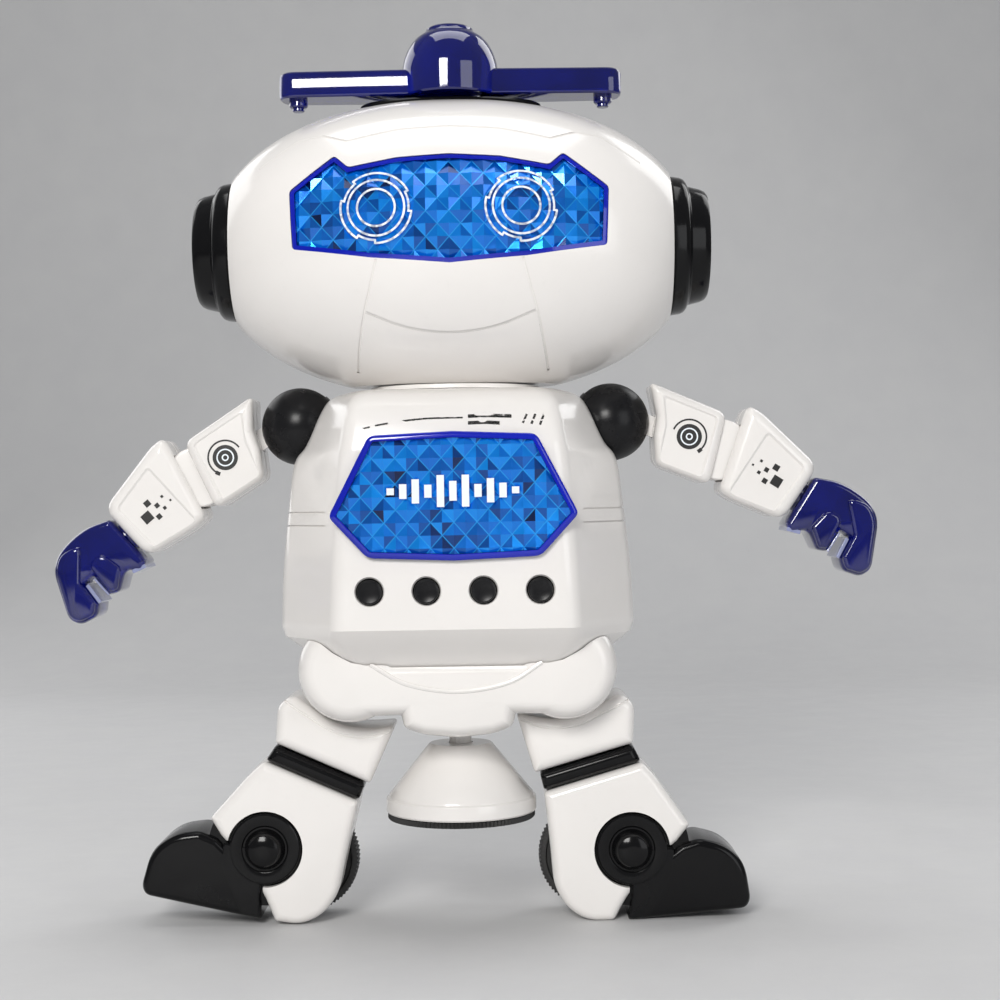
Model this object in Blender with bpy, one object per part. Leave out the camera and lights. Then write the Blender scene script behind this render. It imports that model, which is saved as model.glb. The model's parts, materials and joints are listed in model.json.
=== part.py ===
"""Toy humanoid robot: egg-shaped head with a visor, boxy torso, jointed arms and legs,
a turning base and a spinning rotor. Lengths below are in millimetres, +Z up, front -Y."""

import math

import bmesh
import bpy
from mathutils import Matrix, Vector

MM = 0.001
GAP = 0.3                      # assembly gap between neighbouring pieces
BODY_X = -2.3                  # body axis, so that the whole robot is centred on the origin
BODY_Y = -0.3
BODY_Z = -0.6

WALL = 2.0                     # moulded shell thickness
HEAD_Z = 166.7                 # head centre
HEAD_A = 60.0                  # head half length of the full egg
HEAD_R = 36.8                  # head radius
HEAD_N = 2.2                   # egg fullness
HEAD_END = 53.6                # where the egg is cut for the ear caps
NECK_Z = 132.6                 # flat under the head
SHOULDER = (38.5, 0.0, 123.0)
BALL_R = 9.9
ARM_L = 23.8                   # turn of each upper arm about Y; the robot's own left is +X
ARM_R = -34.2
ELBOW = (27.5, 4.0)            # elbow from the shoulder, along and across the arm
ELBOW_L = 8.9
ELBOW_R = -6.1
WRIST = (22.8, 1.0)            # wrist from the elbow
HIP_X = 25.8
HIP_L = 64.3
HIP_R = 63.1
LEG_L = -16.0                  # turn of each leg about Y in degrees
LEG_R = 24.0
KNEE = (2.0, 26.8)             # knee ring centre, inward and down from the hip
ANKLE = (2.6, 48.9)            # ankle pivot, outward and down from the hip
WHEEL = (-7.3, 49.6)           # heel wheel centre, outward and down from the hip
WHEEL_R = 13.3
BASE_TOP = 43.7
BASE_LOW = 25.2
ROTOR_Z = 204.4

for thing in list(bpy.data.objects):
    bpy.data.objects.remove(thing, do_unlink=True)


def collection(name):
    made = bpy.data.collections.new(name)
    bpy.context.scene.collection.children.link(made)
    return made


PARTS = collection("humanoid_robot")
CUTTERS = collection("cutters")


def finish(name, colour, rough, metal=0.0):
    made = bpy.data.materials.new(name)
    made.use_nodes = True
    shader = made.node_tree.nodes["Principled BSDF"]
    shader.inputs["Base Color"].default_value = (*colour, 1.0)
    shader.inputs["Roughness"].default_value = rough
    shader.inputs["Metallic"].default_value = metal
    return made


WHITE = finish("white_plastic", (0.84, 0.81, 0.79), 0.25)
BLACK = finish("black_plastic", (0.01, 0.01, 0.011), 0.25)
RUBBER = finish("black_rubber", (0.02, 0.02, 0.02), 0.75)
LENS = finish("blue_lens", (0.0, 0.16, 0.72), 0.12)
CLEAR = finish("translucent_blue", (0.01, 0.01, 0.30), 0.10)
INNER = finish("inner_plastic", (0.55, 0.56, 0.58), 0.45)
BOARD = finish("circuit_board", (0.02, 0.18, 0.06), 0.5)
STEEL = finish("steel", (0.60, 0.60, 0.62), 0.3, 1.0)
GEAR = finish("gear_plastic", (0.80, 0.76, 0.62), 0.45)


def pivot(name, place, parent=None, tilt=0.0):
    """An empty on a joint, turned about Y by tilt degrees."""
    made = bpy.data.objects.new(name, None)
    made.location = Vector(place) * MM
    made.rotation_euler = (0.0, math.radians(tilt), 0.0)
    made.parent = parent
    PARTS.objects.link(made)
    return made


ROOT = pivot("robot", (BODY_X, BODY_Y, BODY_Z))


def place(name, bm, parent=ROOT, mat=WHITE, at=(0.0, 0.0, 0.0), smooth=0.6, keep=None):
    """Turn a mesh drawn in millimetres into a named object."""
    bmesh.ops.recalc_face_normals(bm, faces=bm.faces)
    bmesh.ops.scale(bm, vec=(MM, MM, MM), verts=bm.verts)
    mesh = bpy.data.meshes.new(name)
    bm.to_mesh(mesh)
    bm.free()
    mesh.materials.append(mat)
    made = bpy.data.objects.new(name, mesh)
    made.location = Vector(at) * MM
    made.parent = parent
    (keep or PARTS).objects.link(made)
    if smooth:
        mesh.shade_smooth()
        mesh.set_sharp_from_angle(angle=smooth)
    return made


def cut(target, tool_bm, how="DIFFERENCE", parent=ROOT, at=(0.0, 0.0, 0.0)):
    """Boolean a piece with a hidden cutter drawn in millimetres."""
    tool = place("cut_" + target.name, tool_bm, parent, BLACK, at, 0, CUTTERS)
    tool.hide_render = True
    tool.display_type = "WIRE"
    step = target.modifiers.new("cut", "BOOLEAN")
    step.operation = how
    step.solver = "EXACT"
    step.object = tool
    return target


def loft(rings, closed=False):
    """Skin rings of equal point count; capped, or joined into a loop."""
    bm = bmesh.new()
    rows = [[bm.verts.new(p) for p in ring] for ring in rings]
    count = len(rows[0])
    pairs = list(zip(rows, rows[1:]))
    if closed:
        pairs.append((rows[-1], rows[0]))
    for low, high in pairs:
        for i in range(count):
            j = (i + 1) % count
            bm.faces.new((low[i], low[j], high[j], high[i]))
    if not closed:
        bm.faces.new(rows[0][::-1])
        bm.faces.new(rows[-1])
    return bm


def box(size, centre=(0.0, 0.0, 0.0)):
    bm = bmesh.new()
    bmesh.ops.create_cube(bm, size=1.0)
    bmesh.ops.scale(bm, vec=size, verts=bm.verts)
    bmesh.ops.translate(bm, vec=centre, verts=bm.verts)
    return bm


def soft_box(size, centre=(0.0, 0.0, 0.0), r=0.6):
    bm = box(size)
    bmesh.ops.bevel(bm, geom=bm.edges, offset=r, segments=1, affect="EDGES")
    bmesh.ops.translate(bm, vec=centre, verts=bm.verts)
    return bm


def rod(r1, r2, height, centre=(0.0, 0.0, 0.0), steps=24, axis="Z"):
    bm = bmesh.new()
    bmesh.ops.create_cone(
        bm, cap_ends=True, segments=steps, radius1=r1, radius2=r2, depth=height
    )
    turn = {"X": Matrix.Rotation(math.pi / 2, 3, "Y"), "Y": Matrix.Rotation(math.pi / 2, 3, "X")}
    if axis in turn:
        bmesh.ops.rotate(bm, matrix=turn[axis], verts=bm.verts)
    bmesh.ops.translate(bm, vec=centre, verts=bm.verts)
    return bm


def ball(r, centre=(0.0, 0.0, 0.0), steps=20, rows=12):
    bm = bmesh.new()
    bmesh.ops.create_uvsphere(bm, u_segments=steps, v_segments=rows, radius=r)
    bmesh.ops.translate(bm, vec=centre, verts=bm.verts)
    return bm


def around(r, z, steps, wave=0.0):
    """A level ring of points; wave makes every other point stand in."""
    points = []
    for i in range(steps):
        turn = 2 * math.pi * i / steps
        size = r - wave * (i % 2)
        points.append((size * math.cos(turn), size * math.sin(turn), z))
    return points


def turned(profile, steps=32, closed=False):
    """Turn (radius, height) pairs about Z."""
    return loft([around(r, z, steps) for r, z in profile], closed)


def laid(bm, axis):
    """Lay a piece drawn about Z along X or Y."""
    turn = {"X": Matrix.Rotation(math.pi / 2, 3, "Y"), "Y": Matrix.Rotation(math.pi / 2, 3, "X")}
    bmesh.ops.rotate(bm, matrix=turn[axis], verts=bm.verts)
    return bm


def moved(bm, shift):
    bmesh.ops.translate(bm, vec=shift, verts=bm.verts)
    return bm


def filleted(points, steps=3):
    """Round each (x, z, radius) corner of an outline."""
    rounded = []
    count = len(points)
    for i in range(count):
        a = Vector(points[i - 1][:2])
        b = Vector(points[i][:2])
        c = Vector(points[(i + 1) % count][:2])
        r = points[i][2]
        if r <= 0:
            rounded.append(tuple(b))
            continue
        back = min(r, 0.45 * (a - b).length)
        on = min(r, 0.45 * (c - b).length)
        start = b + (a - b).normalized() * back
        end = b + (c - b).normalized() * on
        for k in range(steps + 1):
            t = k / steps
            rounded.append(tuple(start.lerp(b, t).lerp(b.lerp(end, t), t)))
    return rounded


def inset(corners, d):
    """Move each side of an outline of (x, z, radius) corners inwards by d."""
    count = len(corners)
    turn = sum(
        corners[i - 1][0] * corners[i][1] - corners[i][0] * corners[i - 1][1]
        for i in range(count)
    )
    side = 1.0 if turn > 0 else -1.0
    shifted = []
    for i in range(count):
        a, b, c = (Vector(corners[k % count][:2]) for k in (i - 1, i, i + 1))
        e1 = (b - a).normalized()
        e2 = (c - b).normalized()
        n1 = Vector((-e1.y, e1.x)) * side
        n2 = Vector((-e2.y, e2.x)) * side
        mid = (n1 + n2).normalized()
        at = b + mid * d / max(0.5, mid.dot(n1))
        r = corners[i][2]
        shifted.append((at.x, at.y, max(0.15, r - d) if r > 0 else 0.0))
    return shifted


def outline_ring(corners, d, steps=2):
    return filleted(inset(corners, d), steps)


def slab(corners, stations, steps=2):
    """Skin insets of an (x, z) outline at the depths given as (y, inset)."""
    return loft([[(x, y, z) for x, z in outline_ring(corners, d, steps)] for y, d in stations])


def cup(outline, stations, rim, wall=WALL):
    """A hollow half shell: stations run from the parting line to the outer face."""
    face = stations[-1]
    way = 1.0 if face[0] > rim else -1.0
    rings = [(face[0] - way * wall, face[1] + wall * 0.9), (rim, wall)]
    return slab(outline, rings + [(rim, 0.0)] + list(stations))


def joined_solid(first, others):
    """Union of closed meshes in one bmesh, by an evaluated Boolean."""
    base = place("union_base", first, None, BLACK, keep=CUTTERS, smooth=0)
    for extra in others:
        tool = place("union_tool", extra, None, BLACK, keep=CUTTERS, smooth=0)
        step = base.modifiers.new("union", "BOOLEAN")
        step.operation = "UNION"
        step.solver = "EXACT"
        step.object = tool
    bpy.context.view_layer.update()
    mesh = bpy.data.meshes.new_from_object(
        base.evaluated_get(bpy.context.evaluated_depsgraph_get())
    )
    bm = bmesh.new()
    bm.from_mesh(mesh)
    bmesh.ops.scale(bm, vec=(1 / MM, 1 / MM, 1 / MM), verts=bm.verts)
    bmesh.ops.remove_doubles(bm, verts=bm.verts, dist=0.0001)
    for thing in [m.object for m in base.modifiers] + [base]:
        bpy.data.objects.remove(thing, do_unlink=True)
    return bm


def mirrored(points):
    return [(-p[0],) + tuple(p[1:]) for p in points]


def sided(points, side):
    """Outline drawn for the limb on +X, mirrored when side is -1."""
    return points if side > 0 else mirrored(points)


# ---------------------------------------------------------------- torso and pelvis
# height, front face half width, front y, side half width, side corner y
TORSO = (
    (64.3, 24.0, -21.0, 31.5, -8.0),
    (68.5, 27.5, -25.5, 38.6, -9.0),
    (71.5, 28.6, -29.0, 42.4, -10.0),
    (74.0, 28.1, -31.3, 43.2, -10.0),
    (87.0, 27.4, -32.0, 42.7, -10.0),
    (101.7, 26.5, -32.0, 41.2, -10.0),
    (113.5, 25.6, -31.5, 39.6, -10.0),
    (118.0, 25.2, -31.0, 36.6, -10.0),
    (125.5, 24.3, -28.5, 33.2, -9.5),
    (129.3, 22.5, -24.5, 30.6, -8.5),
    (130.9, 20.5, -19.5, 26.5, -7.5),
)
BACK_Y = 27.0
SPLIT_Y = 1.5


def torso_ring(row, shrink=0.0):
    """One level section of the torso, softened at its corners."""
    z, front_x, front_y, side_x, side_y = row
    back_y = BACK_Y * (0.72 + 0.28 * min(1.0, -front_y / 31.0))
    corners = [
        (front_x, front_y, 3.0),
        (side_x, side_y, 3.0),
        (side_x, 11.0, 5.0),
        (side_x - 11.0, back_y, 6.0),
        (-side_x + 11.0, back_y, 6.0),
        (-side_x, 11.0, 5.0),
        (-side_x, side_y, 3.0),
        (-front_x, front_y, 3.0),
    ]
    return [(x, y, z) for x, y in outline_ring(corners, shrink, 2)]


def torso_solid(shrink=0.0):
    rings = [torso_ring(row, shrink) for row in TORSO]
    if shrink:
        low = [(x, y, TORSO[0][0] + shrink) for x, y, z in torso_ring(TORSO[0], shrink)]
        top = [(x, y, TORSO[-1][0] - shrink) for x, y, z in torso_ring(TORSO[-1], shrink)]
        rings = [low] + rings[1:-1] + [top]
    return loft(rings)


def chest_outline(grow=0.0):
    """The six-sided chest lens, as (x, z)."""
    points = [
        (-28.6, 100.7, 1.0),
        (-19.2, 119.0, 1.2),
        (0.0, 119.8, 0.0),
        (19.2, 119.0, 1.2),
        (28.6, 100.7, 1.0),
        (19.9, 91.3, 1.2),
        (0.0, 90.5, 0.0),
        (-19.9, 91.3, 1.2),
    ]
    return inset(points, -grow)


BUTTONS = (-19.9, -6.65, 6.65, 19.9)
BUTTON_Z = 83.0
BUTTON_R = 2.9


def torso_shell(name, front):
    """Half of the body: hollow, split on a plane, with sockets for the arms."""
    shell = place(name, torso_solid())
    cut(shell, torso_solid(WALL))
    depth = 60.0
    edge = SPLIT_Y - 0.5 * GAP - 0.5 * depth if front else SPLIT_Y + 0.5 * GAP + 0.5 * depth
    cut(shell, box((120.0, depth, 100.0), (0.0, edge, 98.0)), "INTERSECT")
    for side in (-1, 1):
        cut(shell, ball(BALL_R + 0.5, (side * SHOULDER[0], 0.0, SHOULDER[2]), 20, 12))
    cut(shell, rod(7.0, 7.0, 12.0, (0.0, 0.0, 130.0), 20))
    cut(shell, rod(6.0, 6.0, 12.0, (0.0, 0.0, 64.0), 20))
    return shell


def torso_parts():
    front = torso_shell("torso_front_shell", True)
    cut(front, slab(chest_outline(GAP), [(-40.0, 1.0), (-24.0, 1.0)]))
    for x in BUTTONS:
        cut(front, rod(BUTTON_R + 0.25, BUTTON_R + 0.25, 12.0, (x, -32.0, BUTTON_Z), 20, "Y"))
    rear = torso_shell("torso_rear_shell", False)
    cut(rear, box((40.0, 12.0, 46.0), (0.0, 26.0, 96.0)))
    cut(rear, box((7.4, 12.0, 3.4), (0.0, 25.0, 69.6)))
    stations = [(-29.2, 1.4), (-33.2, 1.4), (-33.2, -0.4), (-33.7, -0.1), (-34.0, 1.2)]
    place("chest_lens", slab(chest_outline(), stations), mat=LENS)
    collar = [(21.0, 131.2), (21.0, 131.9), (20.4, 132.3), (6.2, 132.3), (6.2, 131.2)]
    neck = turned(collar, 32, True)
    bmesh.ops.scale(neck, vec=(1.0, 0.82, 1.0), verts=neck.verts)
    place("neck_collar", neck)


HIP_BALL = 12.6
HIP_Z = 63.7
LOBE = (
    (25.8, 66.4, 0.0),
    (25.8, 52.6, 0.0),
    (13.7, 52.6, 0.0),
    (13.1, 49.6, 1.2),
    (8.4, 47.9, 2.0),
    (0.0, 47.1, 0.0),
)


def pelvis_solid(shrink=0.0):
    """Two hip drums that lie front to back, and the lobe between them."""
    r = HIP_BALL - shrink
    front = -22.5 + shrink
    back = 21.0 - shrink
    profile = [(r - 4.4, -back), (r - 1.2, 2.0 - back), (r, 6.0 - back)]
    profile += [(r, -front - 6.0), (r - 1.2, -front - 2.0), (r - 4.4, -front)]
    drums = [moved(laid(turned(profile, 30), "Y"), (x, 0.0, HIP_Z)) for x in (-HIP_X, HIP_X)]
    outline = list(LOBE) + [(-x, z, c) for x, z, c in reversed(LOBE[:-1])]
    rows = [(front, 3.2), (front + 2.0, 1.2), (front + 6.0, 0.0)]
    rows += [(back - 6.0, 0.0), (back - 2.0, 1.2), (back, 3.2)]
    rows = [(y, d + shrink) for y, d in rows]
    return joined_solid(slab(outline, rows), drums)


def pelvis_parts():
    for name, way in (("pelvis_front_shell", -1.0), ("pelvis_rear_shell", 1.0)):
        shell = place(name, pelvis_solid(), smooth=0.7)
        cut(shell, pelvis_solid(WALL))
        cut(shell, torso_solid(-GAP))
        middle = SPLIT_Y + way * (0.5 * GAP + 30.0)
        cut(shell, box((120.0, 60.0, 60.0), (0.0, middle, 50.0)), "INTERSECT")
        cut(shell, rod(6.0, 6.0, 40.0, (0.0, 0.0, 52.0), 20))


# ---------------------------------------------------------------- head
def egg(x, grow=0.0):
    """Radius of the head at a distance x from its middle."""
    return HEAD_R * (1.0 - (abs(x) / HEAD_A) ** HEAD_N) ** (1.0 / HEAD_N) + grow


def egg_rows(end, count):
    """Positions along the head, closer together near its ends."""
    return [end * math.sin(math.pi / 2 * (2.0 * k / count - 1.0)) for k in range(count + 1)]


def head_solid(grow=0.0, end=HEAD_END, steps=32, count=14):
    rings = []
    for x in egg_rows(end, count):
        r = egg(x, grow)
        ring = []
        for i in range(steps):
            turn = 2 * math.pi * i / steps
            ring.append((x, r * math.sin(turn), HEAD_Z + r * math.cos(turn)))
        rings.append(ring)
    return loft(rings)


def visor_outline(grow=0.0):
    points = [
        (-37.4, 177.1, 0.8),
        (-26.8, 185.2, 0.8),
        (-23.4, 182.0, 0.8),
        (-12.0, 184.0, 0.0),
        (0.0, 184.7, 0.0),
        (12.0, 184.0, 0.0),
        (23.4, 182.0, 0.8),
        (26.8, 185.2, 0.8),
        (37.4, 177.1, 0.8),
        (36.7, 163.2, 0.8),
        (18.0, 160.4, 0.0),
        (0.0, 158.9, 0.0),
        (-18.0, 160.4, 0.0),
        (-36.7, 163.2, 0.8),
    ]
    return inset(points, -grow)


def oval(rx, ry, z0, z1, steps=28):
    rings = []
    for z in (z0, z1):
        rings.append([(x * rx, y * ry, z) for x, y, _ in around(1.0, z, steps)])
    return loft(rings)


def head_half(name, front, head):
    shell = place(name, head_solid(), head)
    cut(shell, head_solid(-WALL, HEAD_END + 2.0, 24, 12), parent=head)
    edge = -30.0 - 0.5 * GAP if front else 30.0 + 0.5 * GAP
    cut(shell, box((130.0, 60.0, 80.0), (0.0, edge, NECK_Z + 40.0)), "INTERSECT", head)
    cut(shell, oval(23.0, 9.6, 196.0, 212.0), parent=head)
    return shell


def head_parts(head):
    front = head_half("head_front_shell", True, head)
    cut(front, slab(visor_outline(GAP), [(-44.0, 0.0), (-20.0, 0.0)]), parent=head)
    head_half("head_rear_shell", False, head)
    visor = place("visor_lens", head_solid(-0.7, steps=48, count=16), head, LENS)
    cut(visor, head_solid(-2.1, HEAD_END + 2.0, steps=48, count=16), parent=head)
    cut(visor, slab(visor_outline(), [(-44.0, 0.0), (-18.0, 0.0)]), "INTERSECT", head)
    plate = soft_box((46.0, 1.4, 15.0), (0.0, -22.0, 172.0), 0.3)
    lamps = [rod(2.4, 2.4, 3.0, (x, -24.0, 172.0), 12, "Y") for x in (-16.8, 16.8)]
    place("eye_light_board", joined_solid(plate, lamps), head, BOARD)
    for side, name in ((1, "left_ear_cap"), (-1, "right_ear_cap")):
        profile = [
            (12.0, 50.6),
            (12.0, HEAD_END + GAP),
            (17.2, HEAD_END + GAP),
            (16.6, 57.6),
            (15.0, 58.2),
            (13.4, 62.6),
            (12.4, 63.2),
            (9.0, 62.4),
        ]
        cap = laid(turned(profile, 32), "X")
        if side < 0:
            bmesh.ops.scale(cap, vec=(-1.0, 1.0, 1.0), verts=cap.verts)
            bmesh.ops.reverse_faces(cap, faces=cap.faces)
        place(name, cap, head, BLACK, (0.0, 0.0, HEAD_Z))
    crest(head)
    seat = [
        [(x * 22.7 * s, y * 9.3 * s, z) for x, y, _ in around(1.0, z, 28)]
        for s, z in ((1.0, 197.5), (1.0, 202.6), (0.94, 203.5), (0.6, 204.0))
    ]
    place("rotor_seat", loft(seat), head, BLACK)
    post = [(4.4, 124.0), (4.4, 134.6), (8.0, 134.9), (8.0, 137.0)]
    place("neck_post", turned(post, 20), head, INNER)


def crest(head):
    """Blue strip that lies over the head just behind its top."""
    rings = []
    rows = egg_rows(44.0, 12)
    for x in rows:
        ring = []
        for grow, turns in ((0.4, (18, 24, 30, 36)), (1.8, (35, 30, 24, 19))):
            for turn in turns:
                r = egg(x, grow)
                a = math.radians(turn)
                ring.append((x, r * math.sin(a), HEAD_Z + r * math.cos(a)))
        rings.append(ring)
    place("head_crest", loft(rings), head, CLEAR)


def rotor_parts(head):
    spin = pivot("rotor_pivot", (0.0, 0.0, ROTOR_Z), head)
    dome = [(11.8, 0.0), (12.0, 6.5), (11.3, 10.5), (9.4, 14.0), (6.5, 16.0), (5.8, 17.3)]
    hub = turned(dome + [(3.0, 17.7)], 28)
    arms = []
    for side in (-1, 1):
        tip = [(0.0, -6.0, 0.0), (42.6, -4.9, 4.4), (42.6, 4.9, 4.4), (0.0, 6.0, 0.0)]
        flat = [(side * x, y, r) for x, y, r in tip]
        rows = [(0.0, 0.6), (0.8, 0.0), (5.4, 0.0), (6.4, 0.9)]
        arms.append(loft([[(x, y, z) for x, y in outline_ring(flat, d)] for z, d in rows]))
        arms.append(rod(2.3, 2.3, 4.0, (side * 38.0, 0.0, 0.2), 16))
    place("rotor", joined_solid(hub, arms), spin, CLEAR)


# ---------------------------------------------------------------- arms
ARM_DEPTH = 9.4
UPPER_ARM = (
    (4.8, 12.6, 2.0),
    (25.4, 12.8, 2.6),
    (28.4, -5.2, 2.6),
    (14.2, -5.7, 2.0),
    (11.0, 0.6, 1.0),
    (9.8, 5.4, 1.0),
    (7.6, 8.6, 1.0),
)
FOREARM = (
    (-0.3, 12.8, 3.0),
    (3.5, 13.2, 2.0),
    (22.6, 9.2, 3.4),
    (22.2, -6.8, 3.4),
    (8.6, -9.2, 2.0),
    (4.8, -8.8, 2.4),
)
HAND = (
    (23.3, 6.6, 1.0),
    (30.0, 9.3, 5.0),
    (38.2, 8.9, 5.0),
    (42.6, 6.0, 3.0),
    (47.5, -5.4, 2.0),
    (46.0, -8.5, 1.5),
    (41.3, -9.6, 1.5),
    (38.9, -7.4, 0.8),
    (38.4, -1.4, 0.4),
    (35.7, -1.4, 0.4),
    (35.6, -7.6, 0.9),
    (33.2, -8.6, 1.0),
    (28.8, -5.6, 1.5),
    (25.6, -8.2, 0.8),
    (23.3, -7.2, 0.8),
)


def front_rows(depth, r):
    """Outer face of a front shell: stations from the parting line outwards."""
    return [(-depth + r, 0.0), (-depth + 0.35 * r, 0.3 * r), (-depth, r)]


def rear_rows(depth, r):
    return [(-y, d) for y, d in front_rows(depth, r)]


def shells(name, outline, parent, depth=ARM_DEPTH, r=2.4):
    """Front and rear half shells that meet on the middle of a limb."""
    front = place(name + "_front_shell", cup(outline, front_rows(depth, r), -0.15), parent)
    rear = place(name + "_rear_shell", cup(outline, rear_rows(depth, r), 0.15), parent)
    return front, rear


def shoulder(word, side):
    """Ball with an axle into the body and a slot for the arm's tongue."""
    swing = pivot(word + "_shoulder_swing", (side * SHOULDER[0], 0.0, SHOULDER[2]), ROOT)
    axle = rod(3.4, 3.4, 8.0, (-side * 11.0, 0.0, 0.0), 16, "X")
    flange = rod(5.2, 5.2, 1.8, (-side * 14.2, 0.0, 0.0), 20, "X")
    solid = joined_solid(ball(BALL_R), [axle, flange])
    made = place(word + "_shoulder_ball", solid, swing, BLACK)
    cut(made, box((30.0, 5.0, 30.0), (side * 8.6, 0.0, 0.0)), parent=swing)
    return swing


def arm(word, side, droop, bend):
    swing = shoulder(word, side)
    upper = pivot(word + "_upper_arm_pivot", (0.0, 0.0, 0.0), swing, droop)
    outline = sided(UPPER_ARM, side)
    elbow_at = (side * ELBOW[0], 0.0, ELBOW[1])
    for shell in shells(word + "_upper_arm", outline, upper):
        cut(shell, rod(7.8, 7.8, 14.6, elbow_at, 24, "Y"), parent=upper)
        cut(shell, box((10.0, 4.4, 5.2), (side * 10.0, 0.0, 3.0)), parent=upper)
    drum = rod(7.5, 7.5, 14.0, elbow_at, 24, "Y")
    tongue = box((14.0, 4.0, 4.8), (side * 13.6, 0.0, 3.0))
    eye = rod(5.8, 5.8, 4.0, (side * 1.0, 0.0, 0.6), 20, "Y")
    place(word + "_arm_link", joined_solid(drum, [tongue, eye]), upper, WHITE)
    fore = pivot(word + "_elbow", elbow_at, upper, bend)
    outline = sided(FOREARM, side)
    for shell in shells(word + "_forearm", outline, fore):
        cut(shell, rod(7.9, 7.9, 14.6, (0.0, 0.0, 0.0), 24, "Y"), parent=fore)
        cut(shell, rod(4.3, 4.3, 8.0, (side * 21.0, 0.0, WRIST[1]), 20, "X"), parent=fore)
    wrist = pivot(word + "_wrist", (side * WRIST[0], 0.0, WRIST[1]), fore)
    hand(word, side, wrist)


def hand(word, side, wrist):
    """Curled hand on a round wrist peg that turns in the forearm."""
    outline = [(x - side * WRIST[0], z - WRIST[1], r) for x, z, r in sided(HAND, side)]
    rows = [(-6.8, 1.1), (-6.2, 0.4), (-4.6, 0.0), (4.6, 0.0), (6.2, 0.4), (6.8, 1.1)]
    peg = rod(4.0, 4.0, 6.0, (-side * 1.8, 0.0, 0.0), 20, "X")
    place(word + "_hand", joined_solid(slab(outline, rows), [peg]), wrist, CLEAR)


# ---------------------------------------------------------------- legs
THIGH = (
    (-14.9, -8.8, 1.6),
    (-14.8, -24.2, 1.0),
    (10.5, -24.2, 1.0),
    (13.6, -15.4, 2.0),
    (11.2, -11.4, 2.0),
    (4.6, -13.0, 3.0),
    (-1.6, -13.9, 4.0),
    (-8.0, -12.4, 3.0),
)
RING = ((-13.6, -24.6, 0.8), (-13.8, -28.9, 0.8), (11.0, -28.9, 0.8), (10.2, -24.6, 0.8))
SHIN_TOP = ((-13.9, -29.3, 1.2), (11.2, -29.3, 1.2), (13.4, -33.9, 2.0), (17.9, -47.3, 0.8))
SHIN_LOW = (
    (-2.4, -60.2, 0.6),
    (-6.6, -64.3, 1.0),
    (-12.8, -62.6, 3.0),
    (-16.8, -58.2, 3.0),
    (-18.3, -52.0, 3.0),
    (-16.0, -41.0, 6.0),
)
SHOE = (
    (-3.4, -65.4, 0.8),
    (25.2, -71.0, 1.6),
    (27.0, -69.2, 1.6),
    (28.2, -60.3, 5.0),
    (24.9, -54.6, 4.0),
    (19.2, -51.3, 1.5),
    (14.4, -51.3, 0.6),
    (5.6, -55.2, 0.0),
    (-1.6, -61.2, 0.4),
)
LEG_DEPTH = 10.4


SHIN = SHIN_TOP + ((13.8, -50.2, 0.4), (5.0, -54.2, 0.0)) + SHIN_LOW


def leg(word, side, height, splay):
    hip = pivot(word + "_hip", (side * HIP_X, 0.0, height), ROOT, splay)
    outline = sided(THIGH, side)
    rows = [(-10.8, 2.6), (-9.8, 0.8), (-8.2, 0.0), (8.2, 0.0), (9.8, 0.8), (10.8, 2.6)]
    thigh = place(word + "_thigh", slab(outline, rows), hip)
    cut(thigh, box((20.4, 16.0, 8.0), (-side * 2.0, 0.0, -22.0)), parent=hip)
    knee = pivot(word + "_knee", (-side * KNEE[0], 0.0, -KNEE[1]), hip)
    low = pivot(word + "_lower_leg", (side * KNEE[0], 0.0, KNEE[1]), knee)
    ring = sided(RING, side)
    rows = [(-10.0, 1.8), (-9.2, 0.4), (-7.6, 0.0), (7.6, 0.0), (9.2, 0.4), (10.0, 1.8)]
    place(word + "_knee_ring", slab(ring, rows), low, BLACK)
    shin(word, side, low)
    shoe(word, side, low)
    wheel(word, side, low)


def shin(word, side, low):
    shapes = {}
    for which, rows, rim in (
        ("front", front_rows(LEG_DEPTH, 2.2), -0.15),
        ("rear", rear_rows(LEG_DEPTH, 2.2), 0.15),
    ):
        made = place(word + "_shin_" + which + "_shell", cup(sided(SHIN, side), rows, rim), low)
        shapes[which] = made
    drum = rod(14.6, 14.6, 8.1, (side * ANKLE[0], -4.05, -ANKLE[1]), 32, "Y")
    cut(shapes["front"], drum, parent=low)
    notch = rod(9.3, 9.3, 8.0, (side * ANKLE[0], -10.5, -ANKLE[1]), 32, "Y")
    cut(shapes["front"], notch, parent=low)
    groove = rod(WHEEL_R + 0.6, WHEEL_R + 0.6, 7.2, (side * WHEEL[0], 4.3, -WHEEL[1]), 32, "Y")
    cut(shapes["rear"], groove, parent=low)


def shoe(word, side, low):
    """Shoe body, a hidden drum inside the shin, and the ankle disc with its dome."""
    ankle = pivot(word + "_ankle", (side * ANKLE[0], 0.0, -ANKLE[1]), low)
    outline = [(x - side * ANKLE[0], z + ANKLE[1], r) for x, z, r in sided(SHOE, side)]
    rows = [(-9.6, 2.4), (-8.8, 0.8), (-7.2, 0.0), (7.2, 0.0), (8.8, 0.8), (9.6, 2.4)]
    drum = rod(14.2, 14.2, 7.2, (0.0, -4.2, 0.0), 32, "Y")
    disc = [(8.8, 4.0), (8.8, 9.5), (8.4, 9.9), (5.4, 10.0), (4.4, 12.2), (2.2, 13.4)]
    disc = laid(turned(disc, 28), "Y")
    made = place(word + "_shoe", joined_solid(slab(outline, rows), [drum, disc]), ankle, BLACK)
    room = (side * (WHEEL[0] - ANKLE[0]), 4.3, ANKLE[1] - WHEEL[1])
    cut(made, rod(WHEEL_R + 0.6, WHEEL_R + 0.6, 7.4, room, 32, "Y"), parent=ankle)


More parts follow.
